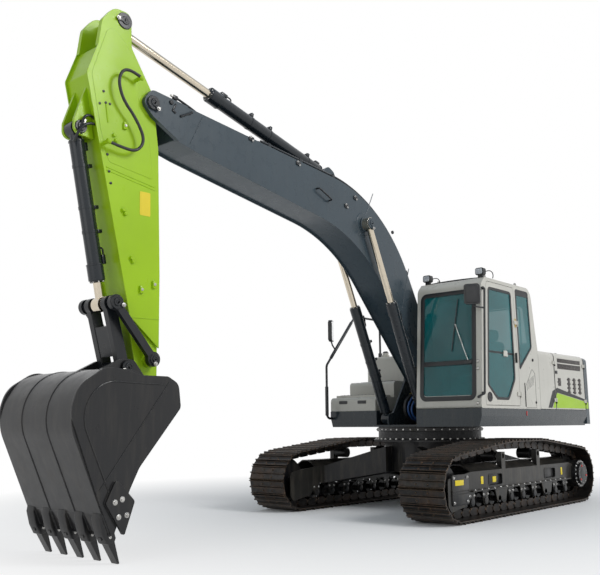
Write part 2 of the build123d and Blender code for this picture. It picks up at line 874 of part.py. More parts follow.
# One side door: a flat wall that rounds over into the hood
def side_door(x0, x1, side, vents):
    across = Plane(origin=(x1, 0, 0), x_dir=(0, 1, 0), z_dir=(1, 0, 0))
    low = skirt_top + panel_gap
    with BuildPart() as door:
        with BuildSketch(across):
            with BuildLine():
                FilletPolyline(
                    (side * house_half, low),
                    (side * house_half, body_top),
                    (side * (house_half - hood_corner - 10), body_top),
                    (side * (house_half - hood_corner - 10), body_top - panel),
                    (side * (house_half - panel), body_top - panel),
                    (side * (house_half - panel), low),
                    radius=[0, hood_corner, 0, 0, hood_corner - panel, 0],
                    close=True,
                )
            make_face()
        extrude(amount=x0 - x1)
        for x, z, width, height in vents:
            with BuildSketch(side_plane((x, z), y=side * (house_half + 10))):
                Rectangle(width, height)
            extrude(amount=side * (panel + 20), mode=Mode.SUBTRACT)
        add(hinge_knuckles(x1 - pillar_half - door_seam, side, side_hinges, 60))
    return door.part


save(side_door(*left_front, 1, []), "left_front_door")
save(side_door(*left_rear, 1, rear_vents), "left_rear_door")
right_rear = (-1100, rear_pillar_x + pillar_half + door_seam)
save(side_door(*right_rear, -1, rear_vents), "right_rear_door")

hood_half = house_half - hood_corner - 10 - panel_gap
hood_axis = (left_rear[0] + panel_gap / 2, body_top + 12)
hood_hinges = (-700, 700)
with BuildPart() as engine_hood:
    with BuildSketch(Plane.XY.offset(body_top - panel)):
        with Locations(((left_rear[0] + body_rear_x) / 2, 0)):
            Rectangle(left_rear[0] - body_rear_x, 2 * hood_half)
    extrude(amount=panel)
    add(lid_knuckles(*hood_axis, 40, 1, hood_hinges))
save(engine_hood.part, "engine_hood")

# Fixed top behind the cab, with the hood's pins, and the air intake on it
tank_x = (-330, -1090)
tank_y = (-house_half, -520)
with BuildPart() as top_panel:
    with BuildSketch(Plane.XY.offset(body_top - panel)):
        Polygon(
            (cab_rear_x - panel_gap, hood_half),
            (cab_rear_x - panel_gap, tank_y[1] + panel_gap),
            (tank_x[1] - panel_gap, tank_y[1] + panel_gap),
            (tank_x[1] - panel_gap, -hood_half),
            (left_rear[0] + panel_gap, -hood_half),
            (left_rear[0] + panel_gap, hood_half),
            align=None,
        )
    extrude(amount=panel)
    add(lid_pins(*hood_axis, body_top, 1, hood_hinges))
save(top_panel.part, "top_panel")

intake_at = (-1003, 1000)
intake_neck = (105, 45)
intake_dome = (146, 78)
with BuildPart() as air_intake:
    with BuildSketch(Plane.XY.offset(body_top + seat_gap)):
        with Locations(intake_at):
            Circle(intake_neck[0])
    extrude(amount=intake_neck[1])
    with BuildSketch(Plane.XY.offset(body_top + intake_neck[1])):
        with Locations(intake_at):
            Circle(intake_dome[0])
    extrude(amount=intake_dome[1])
    fillet(air_intake.faces().sort_by(Axis.Z)[-1].edges(), 55)
save(air_intake.part, "air_intake")

# Right side: fuel tank and stepped tool box
tank_top = 2160
with BuildPart() as fuel_tank:
    with BuildSketch(Plane.XY.offset(skirt_top + 0.5)):
        with Locations(((tank_x[0] + tank_x[1]) / 2, (tank_y[0] + tank_y[1]) / 2)):
            RectangleRounded(tank_x[0] - tank_x[1], tank_y[1] - tank_y[0], 60)
    extrude(amount=tank_top - skirt_top)
    fillet(fuel_tank.faces().sort_by(Axis.Z)[-1].edges(), 50)
    with BuildSketch(Plane.XY.offset(tank_top - 1)):
        with Locations((-480, -1060)):
            Circle(62)
    extrude(amount=36)
    with BuildSketch(Plane.XY.offset(tank_top + 35)):
        with Locations((-480, -1060)):
            Circle(48)
    extrude(amount=34)
save(fuel_tank.part, "fuel_tank")

box_top = 1511
step_top = 1750
step_x = 100
box_round = 70
lid_axis = (step_x + 19, box_top + 15)
lid_hinges = (-1150, -700)
with BuildPart() as tool_box:
    with BuildSketch(side_plane((0, 0), y=-house_half)):
        with BuildLine():
            outline([
                (right_front_x - 8, skirt_top + 0.5, 0),
                (right_front_x - 8, box_top, box_round),
                (step_x, box_top, 0),
                (step_x, step_top, 60),
                (tank_x[0] + 6, step_top, 0),
                (tank_x[0] + 6, skirt_top + 0.5, 0),
            ])
        make_face()
    extrude(amount=-(tank_y[1] + house_half))
    add(lid_pins(*lid_axis, box_top, -1, lid_hinges))
save(tool_box.part, "tool_box")

lid_thick = 30
lid_x = (step_x + 30, right_front_x - 8 - box_round - 4)
with BuildPart() as tool_box_lid:
    with BuildSketch(Plane.XY.offset(box_top + seat_gap)):
        with Locations(((lid_x[0] + lid_x[1]) / 2, (tank_y[0] + tank_y[1]) / 2)):
            RectangleRounded(lid_x[1] - lid_x[0], tank_y[1] - tank_y[0] - 60, 40)
    extrude(amount=lid_thick)
    add(lid_knuckles(*lid_axis, 30, -1, lid_hinges))
save(tool_box_lid.part, "tool_box_lid")

# Rails, mirrors and lamps
tube_radius = 17
right_rail_y = -house_half + 35
left_rail_y = house_half + 40
rear_rail_top = 0.8 * cab_roof + 0.2 * (cab_floor + 780)
rear_rail_end = cab_rear_x + 0.8 * 150 - tube_radius * 150 / (cab_roof - cab_floor - 780)
with BuildPart() as handrails:
    with BuildLine(Plane(origin=(0, right_rail_y, 0), x_dir=(1, 0, 0), z_dir=(0, -1, 0))) as right_rail:
        FilletPolyline(
            (right_front_x + seat_gap, 1210),
            (706, 1210),
            (706, 1985),
            (-10, 2785),
            (-672, 2785),
            (-672, 2181),
            radius=[70, 90, 100, 90],
        )
    with BuildSketch(Plane(origin=right_rail.line @ 0, z_dir=right_rail.line % 0)):
        Circle(tube_radius)
    sweep()
    with BuildLine() as left_rail:
        FilletPolyline(
            (902, 1300, 1445),
            (930, 1300, 1445),
            (888, left_rail_y, 1490),
            (768, left_rail_y, cab_roof - 160),
            (768, house_half + seat_gap, cab_roof - 160),
            radius=[10, 15, 15],
        )
    with BuildSketch(Plane(origin=left_rail.line @ 0, z_dir=left_rail.line % 0)):
        Circle(13)
    sweep()
    # The rail behind the cab stands on the fixed top and bends forward to the cab's back
    with BuildLine(Plane(origin=(0, hood_half - 24, 0), x_dir=(1, 0, 0), z_dir=(0, -1, 0))) as rear_rail:
        FilletPolyline(
            (cab_rear_x - 45, body_top + seat_gap),
            (cab_rear_x - 45, rear_rail_top),
            (rear_rail_end - seat_gap, rear_rail_top),
            radius=70,
        )
    with BuildSketch(Plane(origin=rear_rail.line @ 0, z_dir=rear_rail.line % 0)):
        Circle(tube_radius)
    sweep()
save(handrails.part, "handrails")

# Columns: x, y, z, width, height, turn, and the arm's path to its clamp
right_mirror = (588, right_rail_y, 2510)
left_mirror = (955, 1300, cab_roof - 255)
right_clamp = [
    (right_mirror[0], right_rail_y, right_mirror[2] - 150),
    (right_mirror[0] - 28, right_rail_y, right_mirror[2] - 210),
    (right_mirror[0] - 88, right_rail_y, right_mirror[2] - 269),
]
left_clamp = [
    (left_mirror[0], left_mirror[1], left_mirror[2] - 120),
    (left_mirror[0] - 15, left_mirror[1] + 10, left_mirror[2] - 155),
    (left_mirror[0] - 151.8, left_rail_y - 6, left_mirror[2] - 165),
]
mirror_rows = [
    (*right_mirror, 180, 320, 30, right_clamp),
    (*left_mirror, 200, 260, 110, left_clamp),
]
with BuildPart() as mirrors:
    for x, y, z, width, height, turn, clamp in mirror_rows:
        a = math.radians(turn)
        facing = Plane(origin=(x, y, z), x_dir=(math.cos(a), math.sin(a), 0), z_dir=(math.sin(a), -math.cos(a), 0))
        with BuildSketch(facing):
            RectangleRounded(width, height, 36)
        extrude(amount=25, both=True)
        with BuildLine() as arm_line:
            Polyline(*clamp)
        with BuildSketch(Plane(origin=arm_line.line @ 0, z_dir=arm_line.line % 0)):
            Circle(11)
        sweep(transition=Transition.RIGHT)
save(mirrors.part, "mirrors")

lamp_size = (120, 96)
lamp_foot = 40
with BuildPart() as work_lamps:
    for y in (cab_right + 75, house_half - 75):
        with Locations((cab_roof_front_x - 50, y, cab_roof + seat_gap + lamp_foot / 2)):
            Box(36, 70, lamp_foot)
        front = Plane(origin=(cab_roof_front_x - 12, y, cab_roof + lamp_foot + 44), x_dir=(0, 1, 0), z_dir=(1, 0, 0))
        with BuildSketch(front):
            RectangleRounded(*lamp_size, 28)
        extrude(amount=-68)
        with BuildSketch(front):
            RectangleRounded(lamp_size[0] - 16, lamp_size[1] - 16, 22)
        extrude(amount=10)
save(work_lamps.part, "work_lamps")


# One box beam for the boom or the arm: two side plates with a cover that follows their edge, set in by the lip
def box_beam(rows, plane_point, angle, half, stop):
    with BuildPart() as beam:
        for side in (-1, 1):
            with BuildSketch(side_plane(plane_point, angle, y=side * (half - plate / 2))):
                with BuildLine():
                    outline(rows)
                make_face()
            extrude(amount=plate / 2, both=True)
        with BuildSketch(side_plane(plane_point, angle)):
            with BuildLine():
                outline(rows)
            make_face()
            offset(amount=-lip, mode=Mode.REPLACE)
            with BuildLine():
                outline(rows)
            make_face(mode=Mode.PRIVATE)
        extrude(amount=half - plate, both=True)
    return beam.part


boom_rows = [
    (-95, 75, 90),
    (2102, 1550, 2050),
    (5300, 303, 300),
    (boom_length + 80, 118, 90),
    (boom_length + 105, -60, 80),
    (boom_length - 60, -118, 80),
    (boom_length - 430, -120, 60),
    (boom_length - 700, -50, 200),
    (2386, 762, 2150),
    (90, -105, 90),
    (-110, -60, 90),
]
with BuildPart() as boom:
    for side in (-1, 1):
        with BuildSketch(side_plane(boom_foot, boom_angle, y=side * (boom_half - plate / 2))):
            with BuildLine():
                outline(boom_rows)
            make_face()
        extrude(amount=plate / 2, both=True)
        with BuildSketch(side_plane(boom_foot, boom_angle, y=side * (fork_inner + fork_outer) / 2)):
            with BuildLine():
                outline(boom_rows)
            make_face()
            with Locations((boom_length, 0)):
                Circle(fork_radius + 30, mode=Mode.INTERSECT)
        extrude(amount=(fork_outer - fork_inner) / 2, both=True)
    with BuildSketch(side_plane(boom_foot, boom_angle)):
        with BuildLine():
            outline(boom_rows)
        make_face()
        offset(amount=-lip, mode=Mode.REPLACE)
        with Locations((boom_length, 0)):
            Circle(fork_radius, mode=Mode.SUBTRACT)
    extrude(amount=boom_half - plate / 2, both=True)
    with BuildSketch(side_plane(boom_foot, boom_angle)):
        with BuildLine():
            outline(boom_rows)
        make_face()
        offset(amount=-lip - plate, mode=Mode.REPLACE)
        with Locations((boom_length, 0)):
            Circle(fork_radius + plate, mode=Mode.SUBTRACT)
        Circle(170, mode=Mode.SUBTRACT)
    extrude(amount=boom_half - plate, both=True, mode=Mode.SUBTRACT)
    with BuildSketch(side_plane(boom_foot, boom_angle)):
        Circle(pin_radius + 5 + running_clearance)
    extrude(amount=boom_half + 10, both=True, mode=Mode.SUBTRACT)
    with BuildSketch(side_plane(boom_foot, boom_angle)):
        with Locations(boom_rod_pin):
            Circle(95)
    extrude(amount=boom_half + 34, both=True)
    with BuildSketch(side_plane(boom_foot, boom_angle)):
        with Locations((boom_length, 0)):
            Circle(pin_radius)
    extrude(amount=fork_outer + 26, both=True)
    for side in (-1, 1):
        with BuildSketch(side_plane(nose_pin, y=side * fork_outer)):
            Circle(72)
        extrude(amount=-side * 10)
    for side in (-1, 1):
        with BuildSketch(side_plane(boom_foot, boom_angle, y=side * 95)):
            with BuildLine():
                outline([
                    (arm_cylinder_foot[0] - 220, arm_cylinder_foot[1] - 40, 0),
                    (arm_cylinder_foot[0] - 60, arm_cylinder_foot[1] + 70, 60),
                    (arm_cylinder_foot[0] + 60, arm_cylinder_foot[1] + 70, 60),
                    (arm_cylinder_foot[0] + 160, arm_cylinder_foot[1] - 190, 0),
                    (arm_cylinder_foot[0] - 220, arm_cylinder_foot[1] - 120, 0),
                ])
            make_face()
        extrude(amount=15, both=True)
    with BuildSketch(side_plane(boom_foot, boom_angle)):
        with Locations(arm_cylinder_foot):
            Circle(pin_radius)
    extrude(amount=110, both=True)
    with BuildSketch(side_plane(boom_foot, boom_angle)):
        with Locations(boom_rod_pin):
            Circle(150)
    extrude(amount=boom_half + 9, both=True)
save(boom.part, "boom")

# Pipes over the boom's back, clamped to its upper cover
pipe_radius = 14
pipe_rise = 40
pipe_columns = (135, 175)
clamp_length = 44
clamp_half = 38
clamp_shares = [(0, 1, 0.3), (0, 1, 0.6), (1, 2, 0.3), (1, 2, 0.48), (1, 2, 0.64)]
back = [(x, z) for x, z, r in boom_rows[:3]]


# A point at a share of the way from a to b, raised off the line, and the line's direction
def raised(a, b, share, rise):
    size = distance(a, b)
    along = ((b[0] - a[0]) / size, (b[1] - a[1]) / size)
    x = a[0] + (b[0] - a[0]) * share - along[1] * rise
    z = a[1] + (b[1] - a[1]) * share + along[0] * rise
    return (x, z), along


def raised_corner(a, b, c, rise):
    (x0, z0), first = raised(a, b, 1, 0)
    (x1, z1), second = raised(b, c, 0, 0)
    share = 1 + first[0] * second[0] + first[1] * second[1]
    return (b[0] - (first[1] + second[1]) * rise / share, b[1] + (first[0] + second[0]) * rise / share)


pipe_line = [
    raised(back[0], back[1], 0.12, pipe_rise)[0],
    raised_corner(*back, pipe_rise),
    raised(back[1], back[2], 0.68, pipe_rise)[0],
]
with BuildPart() as boom_pipes:
    for side in (-1, 1):
        for column in pipe_columns:
            with BuildLine(side_plane(boom_foot, boom_angle, side * column)) as pipe:
                FilletPolyline(*pipe_line, radius=boom_rows[1][2] + pipe_rise)
            with BuildSketch(Plane(origin=pipe.line @ 0, z_dir=pipe.line % 0)):
                Circle(pipe_radius)
            sweep()
        for first, second, share in clamp_shares:
            middle, along = raised(back[first], back[second], share, 18)
            place = turned(middle, boom_foot, boom_angle)
            lean = boom_angle + math.degrees(math.atan2(along[1], along[0]))
            with BuildSketch(side_plane(place, lean, y=side * sum(pipe_columns) / 2)):
                Rectangle(clamp_length, 80 - 2 * seat_gap)
            extrude(amount=clamp_half, both=True)
save(boom_pipes.part, "boom_pipes")

arm_rows = [
    (-865, 225, 75),
    (-865, 430, 150),
    (-700, 560, 120),
    (-440, 600, 100),
    (-123, 722, 60),
    (arm_length - 806, 226, 60),
    (arm_length - 130, 100, 60),
    (arm_length + 105, 90, 90),
    (arm_length + 105, -105, 100),
    (arm_length - 1227, -124, 0),
    (430, -108, 200),
    (-120, -36, 150),
    (-519, 218, 80),
]
# The hose beside the left plate, from the arm's root down to the front edge, in directions of the ground
hose_radius = 15
hose_y = 268
gland_radius = 22
gland_length = 40
hose_rows = [
    (190, 205),
    (340, 255),
    (440, 120),
    (385, -80),
    (220, -230),
    (105, -420),
    (190, -555),
    (345, -565),
    (500, -545),
]
hose_line = [(nose_pin[0] + x, nose_pin[1] + z) for x, z in hose_rows]
arm_end = 155
ear_root = -430
arm_boss = 110
narrow_top = arm_length - 837
narrow_low = arm_length - 467
narrow_end = arm_length + 273
narrow_overlap = 50
with BuildPart() as arm:
    for side in (-1, 1):
        with BuildSketch(side_plane(nose_pin, arm_angle, y=side * (arm_half - plate / 2))):
            with BuildLine():
                outline(arm_rows)
            make_face()
        extrude(amount=plate / 2, both=True)
        with BuildSketch(side_plane(nose_pin, arm_angle, y=side * (arm_half - 25))):
            with BuildLine():
                outline(arm_rows)
            make_face()
            with Locations((ear_root - 1000, 0)):
                Rectangle(2000, 3000, mode=Mode.INTERSECT)
        extrude(amount=25, both=True)
    with BuildSketch(side_plane(nose_pin, arm_angle)):
        with BuildLine():
            outline(arm_rows)
        make_face()
        offset(amount=-lip, mode=Mode.REPLACE)
        with Locations((ear_root - 1000, 0)):
            Rectangle(2000, 3000, mode=Mode.SUBTRACT)
    extrude(amount=arm_half - plate / 2, both=True)
    with BuildSketch(side_plane(nose_pin, arm_angle)):
        with BuildLine():
            outline(arm_rows)
        make_face()
        offset(amount=-lip - plate, mode=Mode.REPLACE)
        with Locations((ear_root + plate - 1000, 0)):
            Rectangle(2000, 3000, mode=Mode.SUBTRACT)
        Circle(arm_boss, mode=Mode.SUBTRACT)
        with Locations((arm_length, 0)):
            Circle(130, mode=Mode.SUBTRACT)
    extrude(amount=arm_half - plate, both=True, mode=Mode.SUBTRACT)
    with BuildSketch(side_plane(nose_pin, arm_angle)):
        Circle(arm_boss)
    extrude(amount=arm_half + 2, both=True)
    with BuildSketch(side_plane(nose_pin, arm_angle)):
        Circle(pin_radius + running_clearance)
    extrude(amount=arm_half + 10, both=True, mode=Mode.SUBTRACT)
    for side in (-1, 1):
        with BuildSketch(side_plane(nose_pin, arm_angle, y=side * 90)):
            with BuildLine():
                outline([
                    (bucket_cylinder_foot[0] - 420, bucket_cylinder_foot[1] - 60, 0),
                    (bucket_cylinder_foot[0] - 60, bucket_cylinder_foot[1] + 70, 70),
                    (bucket_cylinder_foot[0] + 70, bucket_cylinder_foot[1] + 70, 70),
                    (bucket_cylinder_foot[0] + 90, bucket_cylinder_foot[1] - 140, 0),
                ])
            make_face()
        extrude(amount=15, both=True)
    with BuildSketch(side_plane(nose_pin, arm_angle)):
        with Locations(bucket_cylinder_foot):
            Circle(pin_radius)
    extrude(amount=110, both=True)
    # The lower end narrows to fit between the bucket's hangers
    for side in (-1, 1):
        with BuildSketch(side_plane(nose_pin, arm_angle, y=side * (arm_end + 100))):
            Polygon((narrow_top, 260), (narrow_low, -180), (narrow_end, -180), (narrow_end, 260), align=None)
        extrude(amount=100, both=True, mode=Mode.SUBTRACT)
        with BuildSketch(side_plane(nose_pin, arm_angle, y=side * (arm_end - 5))):
            with BuildLine():
                outline(arm_rows)
            make_face()
            Polygon(
                (narrow_top - narrow_overlap, 270),
                (narrow_low - narrow_overlap, -180),
                (narrow_end, -180),
                (narrow_end, 270),
                align=None,
                mode=Mode.INTERSECT,
            )
        extrude(amount=5, both=True)
    with BuildSketch(side_plane(nose_pin, arm_angle)):
        with Locations(guide_pin):
            Circle(76)
    extrude(amount=arm_half + 10, both=True)
    with BuildSketch(side_plane(nose_pin, arm_angle)):
        with Locations(guide_pin):
            Circle(pin_radius - 8)
    extrude(amount=arm_half + 66, both=True)
    with BuildSketch(side_plane(nose_pin, arm_angle)):
        with Locations((arm_length, 0)):
            Circle(100)
    extrude(amount=arm_end, both=True)
    with BuildSketch(side_plane(nose_pin, arm_angle)):
        with Locations((arm_length, 0)):
            Circle(pin_radius + running_clearance)
    extrude(amount=arm_end + 10, both=True, mode=Mode.SUBTRACT)
    # Glands that hold the hose's two ends beside the left plate
    for point, angle in ((hose_line[0], heading(hose_line[1], hose_line[0])), (hose_line[-1], heading(*hose_line[-2:]))):
        with BuildSketch(across_plane(point, angle, y=hose_y)):
            Circle(gland_radius)
        extrude(amount=gland_length)
        with BuildSketch(across_plane(point, angle, 8, y=(hose_y + arm_half - 2) / 2)):
            Rectangle(hose_y - arm_half + 2, 1.4 * gland_radius)
        extrude(amount=gland_length - 16)
save(arm.part, "arm")

# The hose rests on its two glands
hose_turns = []
for a, b, c in zip(hose_line, hose_line[1:], hose_line[2:]):
    turn = math.radians(abs((heading(b, c) - heading(a, b) + 180) % 360 - 180))
    hose_turns.append(0.45 * min(distance(a, b), distance(b, c)) / math.tan(turn / 2))
print("arm hose radii", [round(r) for r in hose_turns])
with BuildPart() as arm_hose:
    with BuildLine(side_plane((0, 0), y=hose_y)) as hose:
        FilletPolyline(*hose_line, radius=hose_turns)
    with BuildSketch(Plane(origin=hose.line @ 0, z_dir=hose.line % 0)):
        Circle(hose_radius)
    sweep()
hose_section = math.pi * hose_radius**2
print("arm hose length", round(hose.wires()[0].length, 1), "volume over section", round(arm_hose.part.volume / hose_section, 1))
save(arm_hose.part, "arm_hose")

# Cylinders: foot, rod end at rest, tube radius, rod radius, eye radius, eye half width, head length, tube end
def make_tube(foot, tip, y, tube_r, rod_r, eye_r, eye_half, tube_end, swell):
    angle = heading(foot, tip)
    with BuildPart() as tube:
        with BuildSketch(side_plane(foot, angle, y=y)):
            Circle(eye_r)
        extrude(amount=eye_half, both=True)
        with BuildSketch(across_plane(foot, angle, 20, y)):
            Circle(eye_half - 1)
        extrude(amount=eye_r + 40)
        with BuildSketch(across_plane(foot, angle, eye_r + 30, y)):
            Circle(tube_r)
        extrude(amount=tube_end - eye_r - 30)
        with BuildSketch(across_plane(foot, angle, tube_end - 150, y)):
            Circle(tube_r + swell)
        extrude(amount=150)
        with BuildSketch(across_plane(foot, angle, eye_r + 60, y)):
            Circle(rod_r + running_clearance)
        extrude(amount=tube_end, mode=Mode.SUBTRACT)
        with BuildSketch(side_plane(foot, angle, y=y)):
            Circle(pin_radius + running_clearance)
        extrude(amount=eye_half + 10, both=True, mode=Mode.SUBTRACT)
    return tube.part


def make_rod(foot, tip, y, rod_r, eye_r, eye_half, pin_half, length):
    angle = heading(foot, tip)
    with BuildPart() as rod:
        with BuildSketch(side_plane(tip, angle, y=y)):
            Circle(eye_r)
        extrude(amount=eye_half, both=True)
        with BuildSketch(across_plane(tip, angle, -length, y)):
            Circle(rod_r)
        extrude(amount=length - 10)
        with BuildSketch(side_plane(tip, angle, y=y)):
            Circle(pin_radius)
        extrude(amount=pin_half, both=True)
    return rod.part


boom_tube_end = 1640
with BuildPart() as boom_cylinder_tubes:
    for side in (-1, 1):
        add(make_tube(boom_cylinder_foot, boom_rod_at, side * boom_cylinder_y, 70, 42, 78, 45, boom_tube_end, 5))
save(boom_cylinder_tubes.part, "boom_cylinder_tubes")
with BuildPart() as boom_cylinder_rods:
    for side in (-1, 1):
        add(make_rod(boom_cylinder_foot, boom_rod_at, side * boom_cylinder_y, 42, 78, 45, 45.2, 1650))
save(boom_cylinder_rods.part, "boom_cylinder_rods")

arm_tube_end = 2010
save(make_tube(arm_foot_at, arm_rod_at, 0, 78, 48, 76, 55, arm_tube_end, 10), "arm_cylinder_tube")
save(make_rod(arm_foot_at, arm_rod_at, 0, 48, 78, 60, arm_half - 50 - 0.4, 1840), "arm_cylinder_rod")

bucket_tube_end = 1420
save(make_tube(bucket_foot_at, link_at, 0, 68, 40, 74, 55, bucket_tube_end, 9), "bucket_cylinder_tube")
save(make_rod(bucket_foot_at, link_at, 0, 40, 70, 55, 94, 1320), "bucket_cylinder_rod")

# Guide links beside the arm, and the link from them to the bucket
guide_inner = 206
guide_thick = 48
with BuildPart() as guide_links:
    for side in (-1, 1):
        middle = side * (guide_inner + guide_thick / 2)
        with BuildSketch(side_plane(guide_at, heading(guide_at, link_at), y=middle)):
            Circle(70)
            with Locations((distance(guide_at, link_at), 0)):
                Circle(72)
            with Locations((distance(guide_at, link_at) / 2, 0)):
                Rectangle(distance(guide_at, link_at), 76)
            Circle(pin_radius - 8 + running_clearance, mode=Mode.SUBTRACT)
        extrude(amount=guide_thick / 2, both=True)
        with BuildSketch(side_plane(link_at, y=side * 166)):
            Circle(50)
        extrude(amount=-side * (guide_inner - 166))
save(guide_links.part, "guide_links")

hanger_inner = 165
hanger_thick = 36
link_eye = 60
with BuildPart() as bucket_link:
    for side in (-1, 1):
        with BuildSketch(side_plane(bucket_link_at, heading(bucket_link_at, link_at), y=side * 128)):
            with Locations((distance(bucket_link_at, link_at), 0)):
                Circle(72)
            with Locations((distance(bucket_link_at, link_at) / 2, 0)):
                Rectangle(distance(bucket_link_at, link_at), 110)
            Circle(link_eye)
        extrude(amount=32, both=True)
    with BuildSketch(side_plane(bucket_link_at, heading(bucket_link_at, link_at))):
        with Locations((distance(bucket_link_at, link_at) / 2 - 40, 0)):
            Rectangle(distance(bucket_link_at, link_at) - 320, 100)
    extrude(amount=120, both=True)
    with BuildSketch(side_plane(bucket_link_at)):
        Circle(link_eye)
    extrude(amount=130, both=True)
    with BuildSketch(side_plane(bucket_link_at)):
        Circle(pin_radius + running_clearance)
    extrude(amount=200, both=True, mode=Mode.SUBTRACT)
save(bucket_link.part, "bucket_link")

# Bucket, in directions of the ground from its pin at rest
side_rows = [
    (-52, -44, 60),
    (-22, 170, 90),
    (100, 232, 60),
    (400, 232, 300),
    (560, 275, 200),
    (760, 290, 200),
    (1020, 130, 260),
    (1090, -100, 260),
    (785, -824, 0),
    (662, -1080, 10),
    (630, -1070, 20),
    (484, -725, 200),
    (393, -553, 200),
]
wrap_rows = [
    (664, -1080, 0),
    (1290, 295, 400),
    (470, 262, 150),
    (215, 150, 100),
    (140, -40, 50),
    (100, -95, 0),
]
cutter_thick = 26
cutter_rows = [
    (552, -1102, 15),
    (450, -823, 30),
    (640, -632, 30),
    (739, -825, 30),
]
with BuildPart() as bucket:
    for side in (-1, 1):
        with BuildSketch(side_plane(bucket_pin, y=side * (bucket_half - bucket_wall / 2))):
            with BuildLine():
                outline(side_rows)
            make_face()
        extrude(amount=bucket_wall / 2, both=True)
    with BuildSketch(side_plane(bucket_pin)):
        with BuildLine():
            FilletPolyline(*[(x, z) for x, z, r in wrap_rows], radius=[r for x, z, r in wrap_rows[1:-1]])
            offset(amount=bucket_wall / 2, side=Side.BOTH)
        make_face()
    extrude(amount=bucket_half - bucket_wall / 2, both=True)
    for side in (-1, 1):
        with BuildSketch(side_plane(bucket_pin, y=side * (hanger_inner + hanger_thick / 2))):
            with BuildLine():
                outline([
                    (-90, -80, 80),
                    (-60, 90, 80),
                    (200, 400, 80),
                    (345, 400, 80),
                    (620, 262, 0),
                    (150, 200, 0),
                    (120, -100, 40),
                ])
            make_face()
            Circle(90)
        extrude(amount=hanger_thick / 2, both=True)
    for point in ((0, 0), bucket_link_pin):
        with BuildSketch(side_plane(bucket_pin)):
            with Locations(point):
                Circle(pin_radius)
        extrude(amount=hanger_inner + hanger_thick + 20, both=True)
    # Side cutters bolted outside the lip's ends
    for side in (-1, 1):
        with BuildSketch(side_plane(bucket_pin, y=side * (bucket_half + cutter_thick / 2))):
            with BuildLine():
                outline(cutter_rows)
            make_face()
        extrude(amount=cutter_thick / 2, both=True)
save(bucket.part, "bucket")

lip_end = (wrap_rows[0][0], wrap_rows[0][1])
lip_lean = heading(wrap_rows[1], lip_end)
tooth_length = 262
with BuildPart() as bucket_teeth:
    for i in range(tooth_count):
        y = (i - (tooth_count - 1) / 2) * (bucket_half * 2 - 150) / (tooth_count - 1)
        with BuildSketch(side_plane(turned(lip_end, bucket_pin, 0), lip_lean, y=y)):
            Polygon((-150, -12.5), (-60, -42), (60, -34), (tooth_length, -7), (tooth_length, 7), (60, 34), (-60, 42),
                    (-150, 12.5), align=None)
            with Locations((-100, 0)):
                Rectangle(226, 24.8, mode=Mode.SUBTRACT)
        extrude(amount=45, both=True)
save(bucket_teeth.part, "bucket_teeth")
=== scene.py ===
import bpy
import bmesh
import math
from mathutils import Matrix, Vector


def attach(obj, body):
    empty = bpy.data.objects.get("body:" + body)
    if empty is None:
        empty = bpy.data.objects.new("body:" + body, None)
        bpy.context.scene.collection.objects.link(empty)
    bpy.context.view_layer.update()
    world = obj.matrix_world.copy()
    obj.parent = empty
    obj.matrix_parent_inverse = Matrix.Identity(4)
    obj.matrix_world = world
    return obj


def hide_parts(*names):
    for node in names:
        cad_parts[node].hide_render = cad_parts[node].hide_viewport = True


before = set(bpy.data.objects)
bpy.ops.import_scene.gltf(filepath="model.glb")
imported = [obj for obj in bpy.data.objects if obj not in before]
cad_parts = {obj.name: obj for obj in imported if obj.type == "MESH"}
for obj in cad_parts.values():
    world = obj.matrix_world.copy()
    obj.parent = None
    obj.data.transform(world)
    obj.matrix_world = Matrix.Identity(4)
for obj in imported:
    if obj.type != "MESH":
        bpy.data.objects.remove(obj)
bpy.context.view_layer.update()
bothSides = (-1, 1)

# Camera, as solved from the photograph
camera = {
    "place": (9.783, 6.144, 1.121),
    "yaw": 221.233,
    "pitch": 9.887,
    "roll": -0.427,
    "lens": 47.264,
    "sensor": 36.0,
}


def makeCamera(values):
    yaw, pitch, roll = (math.radians(values[k]) for k in ("yaw", "pitch", "roll"))
    forward = Vector((math.cos(yaw) * math.cos(pitch), math.sin(yaw) * math.cos(pitch), math.sin(pitch)))
    side = forward.cross(Vector((0, 0, 1))).normalized()
    above = side.cross(forward).normalized()
    right = side * math.cos(roll) + above * math.sin(roll)
    top = -side * math.sin(roll) + above * math.cos(roll)
    data = bpy.data.cameras.new("photoCamera")
    data.lens = values["lens"]
    data.sensor_width = values["sensor"]
    data.clip_end = 200
    holder = bpy.data.objects.new("photoCamera", data)
    turn = Matrix((right, top, -forward)).transposed().to_4x4()
    holder.matrix_world = Matrix.Translation(Vector(values["place"])) @ turn
    bpy.context.scene.collection.objects.link(holder)
    bpy.context.scene.camera = holder


makeCamera(camera)
print("stage: camera")


